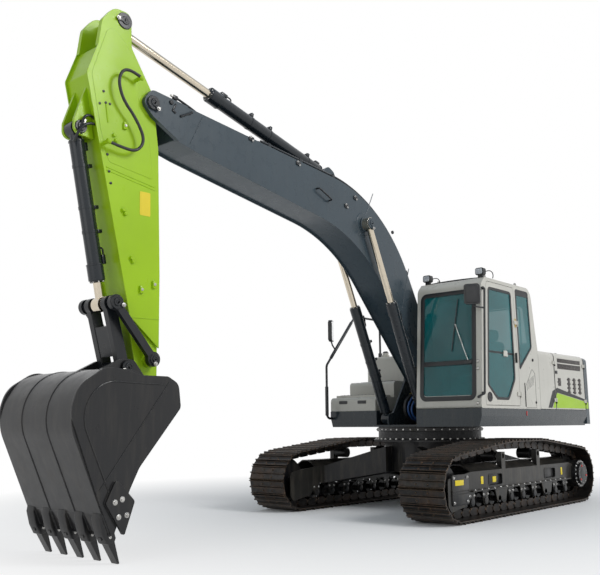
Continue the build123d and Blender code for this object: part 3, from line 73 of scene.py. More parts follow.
# Materials
class Tree:
    def __init__(self, name):
        self.material = bpy.data.materials.new(name)
        self.material.use_nodes = True
        self.nodes = self.material.node_tree.nodes
        self.links = self.material.node_tree.links
        self.shader = self.nodes["Principled BSDF"]
        self.place = self.add("ShaderNodeTexCoord").outputs["Object"]

    def add(self, kind, **settings):
        node = self.nodes.new(kind)
        for key, value in settings.items():
            setattr(node, key, value)
        return node

    def feed(self, socket, value):
        if isinstance(value, (int, float)):
            socket.default_value = value
        elif isinstance(value, tuple):
            socket.default_value = (*value, 1) if len(socket.default_value) == 4 else value
        else:
            self.links.new(value, socket)

    def texture(self, node, stretch=None, **numbers):
        place = self.place
        if stretch:
            mapping = self.add("ShaderNodeMapping")
            mapping.inputs["Scale"].default_value = stretch
            self.links.new(place, mapping.inputs["Vector"])
            place = mapping.outputs["Vector"]
        for key, number in numbers.items():
            node.inputs[key].default_value = number
        self.links.new(place, node.inputs["Vector"])
        return node.outputs

    def noise(self, scale, detail=4, rough=0.55, stretch=None):
        node = self.add("ShaderNodeTexNoise")
        return self.texture(node, stretch, Scale=scale, Detail=detail, Roughness=rough)["Fac"]

    def wave(self, scale, direction="X"):
        return self.texture(self.add("ShaderNodeTexWave", bands_direction=direction), Scale=scale)["Fac"]

    def ramp(self, value, low, high, fromLow=0.0, fromHigh=1.0):
        node = self.add("ShaderNodeMapRange")
        for name, number in zip(("From Min", "From Max", "To Min", "To Max"), (fromLow, fromHigh, low, high)):
            node.inputs[name].default_value = number
        self.links.new(value, node.inputs["Value"])
        return node.outputs["Result"]

    # Soft patches between two values
    def patches(self, low, high, scale, detail=4):
        return self.ramp(self.noise(scale, detail), low, high, 0.3, 0.7)

    def math(self, kind, a, b):
        node = self.add("ShaderNodeMath", operation=kind)
        self.feed(node.inputs[0], a)
        self.feed(node.inputs[1], b)
        return node.outputs[0]

    def mix(self, share, a, b):
        node = self.add("ShaderNodeMix", data_type="RGBA")
        for index, value in zip((0, 6, 7), (share, a, b)):
            self.feed(node.inputs[index], value)
        return node.outputs[2]

    def height(self):
        node = self.add("ShaderNodeSeparateXYZ")
        self.links.new(self.place, node.inputs[0])
        return node.outputs["Z"]

    def edge(self, radius):
        bevel = self.add("ShaderNodeBevel", samples=4)
        bevel.inputs["Radius"].default_value = radius
        plain = self.add("ShaderNodeNewGeometry")
        dot = self.add("ShaderNodeVectorMath", operation="DOT_PRODUCT")
        self.links.new(bevel.outputs["Normal"], dot.inputs[0])
        self.links.new(plain.outputs["Normal"], dot.inputs[1])
        return bevel.outputs["Normal"], self.ramp(dot.outputs["Value"], 1.0, 0.0, 0.80, 0.99)

    def bump(self, height, strength, distance, normal=None):
        node = self.add("ShaderNodeBump")
        node.inputs["Strength"].default_value = strength
        node.inputs["Distance"].default_value = distance
        self.links.new(height, node.inputs["Height"])
        if normal:
            self.links.new(normal, node.inputs["Normal"])
        return node.outputs["Normal"]

    def set(self, name, value):
        self.feed(self.shader.inputs[name], value)


def shaded(colour, share):
    return tuple(min(1.0, c * share) for c in colour)


# Columns: colour, worn colour, roughness, coat, dust share, edge radius, mirror level
paintRows = {
    "slatePaint": ((0.042, 0.062, 0.077), (0.12, 0.13, 0.14), 0.28, 0.20, 0.04, 0.006, 0.28),
    "skirtPaint": ((0.026, 0.035, 0.041), (0.09, 0.09, 0.09), 0.24, 0.25, 0.05, 0.006, 0.28),
    "limePaint": ((0.370, 0.600, 0.008), (0.48, 0.66, 0.06), 0.32, 0.15, 0.02, 0.006, 0.25),
    "whitePaint": ((0.57, 0.55, 0.49), (0.62, 0.60, 0.55), 0.30, 0.25, 0.04, 0.006, 0.40),
    "frameBlack": ((0.009, 0.009, 0.010), (0.05, 0.048, 0.044), 0.34, 0.18, 0.08, 0.006, 0.25),
    "railPaint": ((0.020, 0.019, 0.017), (0.07, 0.065, 0.056), 0.34, 0.18, 0.10, 0.006, 0.25),
    "tubePaint": ((0.010, 0.015, 0.020), (0.06, 0.065, 0.07), 0.26, 0.30, 0.03, 0.005, 0.30),
    "linkPaint": ((0.010, 0.012, 0.015), (0.06, 0.06, 0.06), 0.30, 0.22, 0.04, 0.006, 0.28),
    "bucketPaint": ((0.013, 0.013, 0.014), (0.09, 0.085, 0.08), 0.32, 0.22, 0.05, 0.010, 0.28),
    "yellowPlate": ((0.86, 0.67, 0.03), (0.6, 0.45, 0.1), 0.40, 0.1, 0.03, 0.003, 0.30),
    "capRed": ((0.55, 0.02, 0.015), (0.5, 0.1, 0.08), 0.35, 0.2, 0.03, 0.003, 0.30),
}
dustColour = (0.20, 0.17, 0.13)
rustColour = (0.15, 0.075, 0.035)
rubbedRust = (0.34, 0.22, 0.13)


def makePaint(name, base, worn, rough, coat, dust, radius, mirror):
    tree = Tree(name)
    tint = tree.mix(tree.patches(0.0, 1.0, 1.7, 5), shaded(base, 0.94), shaded(base, 1.06))
    normal, edge = tree.edge(radius)
    chips = tree.math("MULTIPLY", edge, tree.ramp(tree.noise(38, 6, 0.7), 0.0, 0.8, 0.42, 0.66))
    streaks = tree.ramp(tree.noise(5, 6, 0.6, (3.0, 3.0, 0.4)), 0.0, 1.0, 0.48, 0.8)
    low = tree.ramp(tree.height(), 1.6, 0.6, 0.2, 2.2)
    film = tree.math("MULTIPLY", tree.math("MULTIPLY", streaks, low), dust * 2)
    tree.set("Base Color", tree.mix(film, tree.mix(chips, tint, worn), dustColour))
    grime = tree.math("ADD", tree.patches(-0.05, 0.09, 9, 6), rough)
    tree.set("Roughness", tree.math("ADD", grime, tree.math("MULTIPLY", film, 0.5)))
    tree.set("Coat Weight", coat)
    tree.set("Coat Roughness", 0.10)
    tree.set("Specular IOR Level", mirror)
    tree.set("Normal", tree.bump(tree.noise(160, 2), 0.05, 0.002, normal))
    return tree.material


def makeSteel(name, colour, rough, scale, metal=1.0, rust=0.0, spread=0.38, dents=0.22):
    tree = Tree(name)
    normal, edge = tree.edge(0.004)
    wear = tree.ramp(tree.noise(scale, 8, 0.65), 0.0, 1.0, 0.35, 0.65)
    tint = tree.mix(wear, shaded(colour, 1 - spread), shaded(colour, 1 + spread))
    if rust:
        spots = tree.math("MULTIPLY", tree.ramp(tree.noise(scale * 0.4, 9, 0.7), 0.0, 1.0, 0.48, 0.66), rust)
        tint = tree.mix(tree.math("MULTIPLY", edge, 0.75), tree.mix(spots, tint, rustColour), rubbedRust)
    else:
        tint = tree.mix(tree.math("MULTIPLY", edge, 0.6), tint, shaded(colour, 2.6))
    tree.set("Base Color", tint)
    tree.set("Metallic", metal)
    tree.set("Roughness", tree.patches(rough - spread * 0.2, rough + spread * 0.35, scale * 1.7, 6))
    tree.set("Normal", tree.bump(tree.noise(scale * 4, 6), dents, 0.002, normal))
    return tree.material


def makePlastic(name, colour, rough, scale, grain):
    tree = Tree(name)
    normal, edge = tree.edge(0.004)
    tint = tree.mix(tree.patches(0.0, 1.0, scale, 5), shaded(colour, 0.85), shaded(colour, 1.2))
    tree.set("Base Color", tree.mix(tree.math("MULTIPLY", edge, 0.3), tint, shaded(colour, 2.2)))
    tree.set("Roughness", tree.patches(rough - 0.06, rough + 0.08, scale * 3))
    tree.set("Normal", tree.bump(tree.noise(scale * 60, 3), grain, 0.001, normal))
    return tree.material


def makeGlass(name, colour, alpha):
    tree = Tree(name)
    tree.set("Base Color", tree.mix(tree.patches(0.0, 1.0, 1.2, 3), shaded(colour, 0.7), shaded(colour, 1.3)))
    tree.set("Roughness", tree.patches(0.015, 0.04, 30))
    for key, value in (("IOR", 1.5), ("Specular IOR Level", 0.35), ("Alpha", alpha), ("Coat Weight", 0.25),
                       ("Coat Roughness", 0.02)):
        tree.set(key, value)
    return tree.material


def makeGrille(name):
    tree = Tree(name)
    node = tree.add("ShaderNodeTexVoronoi", feature="DISTANCE_TO_EDGE")
    web = tree.ramp(tree.texture(node, Scale=90, Randomness=0.15)["Distance"], 1.0, 0.0, 0.06, 0.16)
    # Wires dark brown-grey; the openings between them are painted near-black, painted shade of the space behind the
    # mesh
    tree.set("Base Color", tree.mix(web, (0.008, 0.007, 0.007), (0.13, 0.11, 0.10)))
    tree.set("Roughness", tree.patches(0.35, 0.55, 20))
    tree.set("Metallic", 0.3)
    tree.set("Normal", tree.bump(web, 0.8, 0.003))
    return tree.material


def makeHose(name, colour, pitch):
    tree = Tree(name)
    tree.set("Base Color", tree.mix(tree.patches(0.0, 1.0, 14, 5), shaded(colour, 0.8), shaded(colour, 1.4)))
    tree.set("Roughness", tree.patches(0.36, 0.52, 40))
    tree.set("Normal", tree.bump(tree.wave(pitch, "DIAGONAL"), 0.35, 0.002))
    return tree.material


def makeCloth(name, colour):
    tree = Tree(name)
    weave = tree.math("MULTIPLY", tree.wave(140, "X"), tree.wave(140, "Y"))
    base = tree.mix(tree.patches(0.0, 1.0, 9, 5), shaded(colour, 0.8), shaded(colour, 1.2))
    tree.set("Base Color", tree.mix(tree.math("MULTIPLY", weave, 0.5), base, shaded(colour, 2.0)))
    tree.set("Roughness", tree.patches(0.8, 0.95, 60, 3))
    tree.set("Sheen Weight", 0.4)
    tree.set("Normal", tree.bump(weave, 0.5, 0.001))
    return tree.material


# Columns of the others: maker, colour, then roughness, scale and the rest that the maker takes
otherRows = {
    "trackSteel": (makeSteel, (0.030, 0.028, 0.027), 0.36, 14, 0.70, 0.22),
    "bearingSteel": (makeSteel, (0.020, 0.020, 0.021), 0.42, 20, 0.5),
    "rodChrome": (makeSteel, (0.62, 0.55, 0.44), 0.16, 12, 1.0, 0.0, 0.06, 0.02),
    "boltSteel": (makeSteel, (0.42, 0.41, 0.39), 0.30, 25),
    "brassFitting": (makeSteel, (0.60, 0.44, 0.16), 0.28, 25),
    "engineAlloy": (makeSteel, (0.25, 0.25, 0.25), 0.5, 20, 0.9),
    "mirrorFace": (makeSteel, (0.75, 0.77, 0.80), 0.10, 8),
    "blackPlastic": (makePlastic, (0.016, 0.017, 0.019), 0.38, 6, 0.12),
    "gasketBlack": (makePlastic, (0.008, 0.009, 0.011), 0.45, 9, 0.15),
    "lampLens": (makePlastic, (0.55, 0.57, 0.60), 0.10, 30, 0.30),
    "grilleDark": (makeGrille,),
    "hoseRubber": (makeHose, (0.012, 0.012, 0.013), 60),
    "blueHose": (makeHose, (0.02, 0.07, 0.22), 50),
    "seatCloth": (makeCloth, (0.045, 0.047, 0.052)),
    "tealGlass": (makeGlass, (0.002, 0.135, 0.145), 0.74),
}
look = {name: makePaint(name, *row) for name, row in paintRows.items()}
look.update({name: maker(name, *row) for name, (maker, *row) in otherRows.items()})

# Which nodes of the frame each material covers
nodeRows = {
    "frameBlack": "lower_frame idlers travel_drives track_rollers body_frame",
    "bearingSteel": "swing_bearing",
    "railPaint": "track_frames",
    "trackSteel": "left_track right_track",
    "skirtPaint": "house_frame",
    "slatePaint": "counterweight boom",
    "whitePaint": "cab_shell top_panel fuel_tank tool_box cab_door left_front_door left_rear_door right_rear_door"
                  " engine_hood tool_box_lid",
    "tealGlass": "cab_glass cab_door_glass",
    "seatCloth": "operator_seat",
    "blackPlastic": "cab_console air_intake handrails mirrors work_lamps",
    "engineAlloy": "engine_block",
    "tubePaint": "boom_pipes boom_cylinder_tubes arm_cylinder_tube bucket_cylinder_tube",
    "rodChrome": "boom_cylinder_rods arm_cylinder_rod bucket_cylinder_rod",
    "limePaint": "arm",
    "hoseRubber": "arm_hose",
    "bucketPaint": "bucket bucket_teeth",
    "linkPaint": "bucket_link guide_links",
}
nodeLook = {name: material for material, names in nodeRows.items() for name in names.split()}
for name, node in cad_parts.items():
    for slot in node.material_slots:
        slot.material = look[nodeLook[name]]
print("stage: materials")

# The hose beside the arm's root, on the route of its CAD solid
armHose = {
    "side": 0.268,
    "radius": 0.015,
    "length": 1.388,
    "nose": (5.2188, 4.2505),
    "route": [(0.190, 0.205), (0.340, 0.255), (0.440, 0.120), (0.385, -0.080), (0.220, -0.230),
              (0.105, -0.420), (0.190, -0.555), (0.345, -0.565), (0.500, -0.545)],
}


def makeArmHose(values):
    data = bpy.data.curves.new("armHoseRubber", "CURVE")
    data.dimensions = "3D"
    spline = data.splines.new("NURBS")
    spline.points.add(len(values["route"]) - 1)
    for point, (x, z) in zip(spline.points, values["route"]):
        point.co = (values["nose"][0] + x, values["side"], values["nose"][1] + z, 1)
    spline.order_u = 3
    spline.use_endpoint_u = True
    spline.resolution_u = 12
    data.bevel_depth = values["radius"]
    data.bevel_resolution = 5
    data.use_fill_caps = True
    data.materials.append(look["hoseRubber"])
    hose = bpy.data.objects.new("armHoseRubber", data)
    bpy.context.scene.collection.objects.link(hose)
    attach(hose, "arm")
    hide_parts("arm_hose")


makeArmHose(armHose)
print("stage: arm hose")

# Floor, backdrop and light
studio = {
    "floorHalf": 60.0,
    "floorShade": 0.92,
    "fadeStart": 2.0,
    "fadeEnd": 7.5,
    "sky": 0.42,
    "skyColour": (0.86, 0.93, 1.0),
    "reflectedLow": (1.0, 1.0, 1.0),
    "reflectedHigh": (0.42, 0.50, 0.60),
    "reflectedRise": (0.58, 0.80),
    "aim": (2.5, 0.0, 2.2),
    "keyPlace": (-0.5, 14.0, 12.0),
    "keySize": 6.0,
    "keyShare": 4.4,
    "fillPlace": (16.0, 2.0, 5.0),
    "fillSize": 8.0,
    "fillShare": 0.9,
}


# 1 where the camera, a mirror-like surface or a clear one looks, 0 for plain light
def seenBy(nodes, links):
    path = nodes.new("ShaderNodeLightPath")
    share = path.outputs["Is Camera Ray"]
    for name in ("Is Glossy Ray", "Is Transmission Ray"):
        both = nodes.new("ShaderNodeMath")
        both.operation = "MAXIMUM"
        links.new(share, both.inputs[0])
        links.new(path.outputs[name], both.inputs[1])
        share = both.outputs[0]
    return share


# Shows the second shader for the share and the first for the rest
def mixShaders(nodes, links, share, first, second, output):
    mixer = nodes.new("ShaderNodeMixShader")
    for socket, source in zip(mixer.inputs, (share, first, second)):
        links.new(source, socket)
    links.new(mixer.outputs["Shader"], nodes[output].inputs["Surface"])


def makeFloor(values):
    bm = bmesh.new()
    bmesh.ops.create_grid(bm, x_segments=1, y_segments=1, size=values["floorHalf"])
    mesh = bpy.data.meshes.new("studioFloor")
    bm.to_mesh(mesh)
    bm.free()
    floor = bpy.data.objects.new("studioFloor", mesh)
    bpy.context.scene.collection.objects.link(floor)
    tree = Tree("paleFloor")
    shade = (values["floorShade"],) * 3
    tree.set("Base Color", tree.mix(tree.patches(0.0, 1.0, 0.6, 3), shade, shaded(shade, 1.01)))
    tree.set("Roughness", 0.9)
    tree.set("Specular IOR Level", 0.1)
    reach = tree.add("ShaderNodeVectorMath", operation="LENGTH")
    tree.links.new(tree.place, reach.inputs[0])
    far = tree.ramp(reach.outputs["Value"], 0.0, 1.0, values["fadeStart"], values["fadeEnd"])
    share = tree.math("MULTIPLY", far, seenBy(tree.nodes, tree.links))
    white = tree.add("ShaderNodeEmission")
    mixShaders(tree.nodes, tree.links, share, tree.shader.outputs["BSDF"], white.outputs["Emission"],
               "Material Output")
    mesh.materials.append(tree.material)


def makeLight(values):
    world = bpy.data.worlds.new("studio")
    bpy.context.scene.world = world
    world.use_nodes = True
    nodes, links = world.node_tree.nodes, world.node_tree.links
    light = nodes["Background"]
    light.inputs["Color"].default_value = (*values["skyColour"], 1)
    light.inputs["Strength"].default_value = values["sky"]
    seen = nodes.new("ShaderNodeBackground")
    place = nodes.new("ShaderNodeTexCoord")
    split = nodes.new("ShaderNodeSeparateXYZ")
    links.new(place.outputs["Generated"], split.inputs[0])
    rise = nodes.new("ShaderNodeMapRange")
    rise.inputs["From Min"].default_value, rise.inputs["From Max"].default_value = values["reflectedRise"]
    links.new(split.outputs["Z"], rise.inputs["Value"])
    blend = nodes.new("ShaderNodeMix")
    blend.data_type = "RGBA"
    links.new(rise.outputs["Result"], blend.inputs[0])
    blend.inputs[6].default_value = (*values["reflectedLow"], 1)
    blend.inputs[7].default_value = (*values["reflectedHigh"], 1)
    links.new(blend.outputs[2], seen.inputs["Color"])
    mixShaders(nodes, links, seenBy(nodes, links), light.outputs["Background"], seen.outputs["Background"],
               "World Output")
    for name in ("key", "fill"):
        data = bpy.data.lights.new(name + "Light", "AREA")
        data.size = values[name + "Size"]
        reach = Vector(values["aim"]) - Vector(values[name + "Place"])
        data.energy = values[name + "Share"] * reach.length_squared
        lamp = bpy.data.objects.new(name + "Light", data)
        lamp.location = values[name + "Place"]
        lamp.rotation_euler = reach.to_track_quat("-Z", "Y").to_euler()
        bpy.context.scene.collection.objects.link(lamp)
    bpy.context.scene.view_settings.view_transform = "Standard"


makeFloor(studio)
makeLight(studio)
print("stage: floor and light")


# A frame in a vertical plane: its x at the angle, its y to the machine's left
def space(x, z, angle=0.0, y=0.0):
    return Matrix.Translation((x, y, z)) @ Matrix.Rotation(math.radians(-angle), 4, "Y")


# A frame by its origin, its x and the direction that its z leans to
def basis(origin, along, up):
    x = Vector(along).normalized()
    z = (Vector(up) - Vector(up).dot(x) * x).normalized()
    return Matrix.Translation(Vector(origin)) @ Matrix((x, z.cross(x), z)).transposed().to_4x4()


def rect(x0, z0, x1, z1):
    return [(x0, z0), (x1, z0), (x1, z1), (x0, z1)]


# Points evenly round a circle, the first one at an angle in degrees
def around(count, radius, first=0.0):
    angles = [math.radians(first) + math.tau * i / count for i in range(count)]
    return [(radius * math.cos(a), radius * math.sin(a)) for a in angles]


def soften(bm, geom, width, segments=2, affect="EDGES"):
    bmesh.ops.bevel(bm, geom=list(geom), offset=width, segments=segments, affect=affect, profile=0.5, material=-1)


# Where a slab's outline lies: its two directions and the one it is pulled along
planes = {
    "xz": lambda a, b, c: (a, c, b),
    "xy": lambda a, b, c: (a, b, c),
    "yz": lambda a, b, c: (c, a, b),
}


class Piece:
    def __init__(self, name, material, body, at=None):
        self.name, self.material, self.body = name, material, body
        self.at = at or Matrix()
        self.bm = bmesh.new()

    def block(self, size, centre, turn=0.0, axis="Y", bevel=0.003, segments=2):
        place = self.at @ Matrix.Translation(centre) @ Matrix.Rotation(math.radians(turn), 4, axis)
        made = bmesh.ops.create_cube(self.bm, size=1.0, matrix=place @ Matrix.Diagonal((*size, 1)))
        soften(self.bm, {e for v in made["verts"] for e in v.link_edges}, bevel, segments)

    def rod(self, start, end, radius, count=20, tip=None, bevel=0.0):
        start, end = self.at @ Vector(start), self.at @ Vector(end)
        turn = (end - start).to_track_quat("Z", "Y").to_matrix().to_4x4()
        made = bmesh.ops.create_cone(self.bm, cap_ends=True, segments=count, radius1=radius,
                                     radius2=radius if tip is None else tip, depth=(end - start).length,
                                     matrix=Matrix.Translation((start + end) / 2) @ turn)
        if bevel:
            edges = {e for v in made["verts"] for e in v.link_edges}
            soften(self.bm, [e for e in edges if any(len(f.verts) > 4 for f in e.link_faces)], bevel)

    def bolt(self, place, axis, radius=0.012, height=0.009):
        place, axis = Vector(place), Vector(axis).normalized()
        self.rod(place - axis * 0.002, place + axis * 0.003, radius * 1.4, 12)
        self.rod(place, place + axis * (height + 0.003), radius, 6, radius * 0.92)

    # Takes in a part made apart, once it stands in place
    def join(self, part, place):
        bmesh.ops.transform(part, matrix=place, verts=part.verts)
        mesh = bpy.data.meshes.new("part")
        part.to_mesh(mesh)
        part.free()
        self.bm.from_mesh(mesh)
        bpy.data.meshes.remove(mesh)

    # Rows of distance along the axis and radius, spun round it; a closed one is a ring
    def lathe(self, start, axis, rows, count=32, closed=False):
        part = bmesh.new()
        if not closed:
            rows = [(rows[0][0], 0.0), *rows, (rows[-1][0], 0.0)]
        verts = [part.verts.new((r, 0, h)) for h, r in rows]
        pairs = list(zip(verts, verts[1:])) + ([(verts[-1], verts[0])] if closed else [])
        edges = [part.edges.new(pair) for pair in pairs]
        bmesh.ops.spin(part, geom=verts + edges, cent=(0, 0, 0), axis=(0, 0, 1), angle=2 * math.pi, steps=count,
                       use_merge=True)
        turn = Vector(axis).to_track_quat("Z", "Y").to_matrix().to_4x4()
        self.join(part, self.at @ Matrix.Translation(Vector(start)) @ turn)

    # A flat outline pulled along the third direction; width keeps only a rim of it, corner rounds it
    def slab(self, outline, low, high, plane="xz", corner=0.0, width=0.0, bevel=0.0):
        put = planes[plane]
        part = bmesh.new()
        part.faces.new([part.verts.new(put(a, b, low)) for a, b in outline])
        part.normal_update()
        if corner:
            soften(part, part.verts, corner, 5, "VERTICES")
            part.normal_update()
        if width:
            inner = part.faces[:]
            bmesh.ops.inset_region(part, faces=inner, thickness=width, use_boundary=True, use_even_offset=True)
            bmesh.ops.delete(part, geom=inner, context="FACES_ONLY")
        made = bmesh.ops.extrude_face_region(part, geom=part.faces[:])
        moved = [v for v in made["geom"] if isinstance(v, bmesh.types.BMVert)]
        bmesh.ops.translate(part, verts=moved, vec=put(0, 0, high - low))
        if bevel:
            top = {f for f in made["geom"] if isinstance(f, bmesh.types.BMFace)}
            soften(part, {e for f in top for e in f.edges if any(g not in top for g in e.link_faces)}, bevel)
        self.join(part, self.at)

    def tube(self, points, radius, cyclic=False, smooth=True, ring=4):
        data = bpy.data.curves.new("line", "CURVE")
        data.dimensions = "3D"
        spline = data.splines.new("NURBS" if smooth else "POLY")
        spline.points.add(len(points) - 1)
        for point, place in zip(spline.points, points):
            point.co = (*(self.at @ Vector(place)), 1)
        spline.use_cyclic_u = cyclic
        if smooth:
            spline.order_u = 3
            spline.use_endpoint_u = not cyclic
            spline.resolution_u = 6
        data.bevel_depth = radius
        data.bevel_resolution = ring
        data.use_fill_caps = True
        holder = bpy.data.objects.new("line", data)
        mesh = bpy.data.meshes.new_from_object(holder)
        self.bm.from_mesh(mesh)
        bpy.data.meshes.remove(mesh)
        bpy.data.objects.remove(holder)
        bpy.data.curves.remove(data)

    def finish(self, *replaced, sharp=35):
        bmesh.ops.remove_doubles(self.bm, verts=self.bm.verts, dist=0.00001)
        bmesh.ops.recalc_face_normals(self.bm, faces=self.bm.faces)
        mesh = bpy.data.meshes.new(self.name)
        self.bm.to_mesh(mesh)
        self.bm.free()
        mesh.materials.append(look[self.material])
        mesh.polygons.foreach_set("use_smooth", [True] * len(mesh.polygons))
        mesh.set_sharp_from_angle(angle=math.radians(sharp))
        piece = bpy.data.objects.new(self.name, mesh)
        bpy.context.scene.collection.objects.link(piece)
        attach(piece, self.body)
        if replaced:
            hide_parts(*replaced)
        return piece


# Several pieces on one body, each by its name and material
def pieces(body, at=None, **rows):
    return [Piece(name, material, body, at) for name, material in rows.items()]


def finishAll(made):
    for piece in made:
        piece.finish()


# Tracks: separate shoes with three bars and four bolts, on links with pins
track = {
    "wheelX": 1.75, "radius": 0.395, "top": 0.925, "carrier": 0.5, "grouser": 0.026, "shoes": 49,
    "plate": 0.012, "width": 0.60, "linkHeight": 0.095, "railY": 0.072, "railWidth": 0.040,
    "gauge": 2.38, "bolt": 0.011, "boltSpots": (0.25, 0.73), "pin": 0.021, "pinPast": 0.028,
    "shoeRows": [(0.015, 0.002), (0.035, 0.8), (0.06, 0.8), (0.115, 0.06), (0.425, 0.0), (0.465, 1.0),
                 (0.515, 1.0), (0.57, 0.0), (0.87, 0.0), (0.925, 0.8), (0.95, 0.8), (0.975, 0.0)],
    "linkRows": [(0.02, 0.55), (-0.03, 0.35), (0.02, 0.16), (0.12, 0.1), (0.18, 0.0), (0.82, 0.0),
                 (0.90, 0.25), (0.98, 0.35), (0.99, 0.55), (0.96, 0.75), (0.82, 0.98), (0.20, 0.98),
                 (0.08, 0.8)],
}


def trackPath(values):
    outer = values["radius"] - values["grouser"]
    top = (values["carrier"], values["top"] - values["grouser"])
    wheel = (values["wheelX"], values["radius"])
    reach = math.hypot(wheel[0] - top[0], wheel[1] - top[1])
    lean = math.atan2(top[1] - wheel[1], top[0] - wheel[0]) - math.acos(outer / reach)
    touch = (wheel[0] + outer * math.cos(lean), wheel[1] + outer * math.sin(lean))
    low = wheel[1] - outer
    sweep = lean + math.pi / 2
    runs = [
        ("line", (-wheel[0], low), (wheel[0], low)),
        ("arc", wheel, (-math.pi / 2, sweep)),
        ("line", touch, top),
        ("line", top, (-top[0], top[1])),
        ("line", (-top[0], top[1]), (-touch[0], touch[1])),
        ("arc", (-wheel[0], wheel[1]), (math.pi - lean, sweep)),
    ]
    sizes = [math.dist(a, b) if kind == "line" else outer * b[1] for kind, a, b in runs]
    points = []
    for i in range(values["shoes"]):
        left = (i + 0.5) * sum(sizes) / values["shoes"]
        for (kind, a, b), size in zip(runs, sizes):
            if left <= size:
                break
            left -= size
        if kind == "line":
            points.append((a[0] + (b[0] - a[0]) * left / size, a[1] + (b[1] - a[1]) * left / size))
        else:
            angle = b[0] + left / outer
            points.append((a[0] + outer * math.cos(angle), a[1] + outer * math.sin(angle)))
    return points


def makeTrack(name, side, values):
    points = trackPath(values)
    shoes = Piece(name + "Shoes", "trackSteel", "undercarriage")
    half, plate, deep = values["width"] / 2, values["plate"], values["linkHeight"]
    for i, start in enumerate(points):
        end = points[(i + 1) % len(points)]
        pitch = math.dist(start, end)
        along = ((end[0] - start[0]) / pitch, 0, (end[1] - start[1]) / pitch)
        shoes.at = basis((start[0], side * values["gauge"] / 2, start[1]), along, (along[2], 0, -along[0]))
        profile = [(share * pitch, rise * values["grouser"]) for share, rise in values["shoeRows"]]
        shoes.slab(profile + [(0.985 * pitch, -plate), (0.005 * pitch, -plate)], -half, half)
        bone = [(share * pitch, -plate - deep * (1 - rise)) for share, rise in values["linkRows"]]
        for y in bothSides:
            rail = y * values["railY"]
            for share in values["boltSpots"]:
                x, away = share * pitch, rail * 1.07
                shoes.rod((x, away, -0.002), (x, away, 0.012), values["bolt"], 6)
            shoes.slab(bone, rail - values["railWidth"] / 2, rail + values["railWidth"] / 2)
        reach = values["railY"] + values["pinPast"]
        middle = -plate - deep * 0.5
        shoes.rod((0, -reach, middle), (0, reach, middle), values["pin"], 12)
    shoes.finish(name, sharp=30)


makeTrack("left_track", 1, track)
makeTrack("right_track", -1, track)
print("stage: tracks")

# Undercarriage trim; plates by x, z, width, height, lift and thickness
lower = {
    "gauge": 1.19, "wall": 0.190, "rollers": 9, "rollerPitch": 0.330, "rollerReach": 1.45, "rollerZ": 0.2113,
    "wheelX": 1.75, "wheelZ": 0.395, "recess": (0.725, -0.840), "recessZ": 0.445,
    "plates": ((1.067, 0.452, 0.060, 0.090, 0.0022, 0.003), (1.62, 0.452, 0.190, 0.060, 0.014, 0.003),
               (-1.226, 0.452, 0.050, 0.100, 0.0022, 0.003), (0.725, 0.445, 0.090, 0.070, -0.017, 0.004)),
    "guard": (1.40, 0.20, 1.78, 0.545), "guardBars": (0.33, 0.36), "carriers": (-0.5, 0.5), "carrierZ": 0.718,
    "rollerCap": [(-0.004, 0.046), (0.010, 0.046), (0.014, 0.038), (0.014, 0.02)],
    "carrierCap": [(0, 0.052), (0.018, 0.052), (0.026, 0.040)],
    "drive": 1.44, "cover": 1.478, "redCap": [(0, 0.016), (0.006, 0.016), (0.009, 0.011)],
    "hubCap": [(0, 0.075), (0.005, 0.072), (0.007, 0.03)],
    "bearing": 0.720, "bearingBolts": 44,
    "bearingRings": ((0.880, [(0.0, -0.002), (0.0, 0.065), (0.026, 0.065), (0.034, 0.05), (0.034, -0.002)]),
                     (1.020, [(0.0, -0.002), (0.004, 0.022), (0.050, 0.022), (0.054, -0.002)])),
}


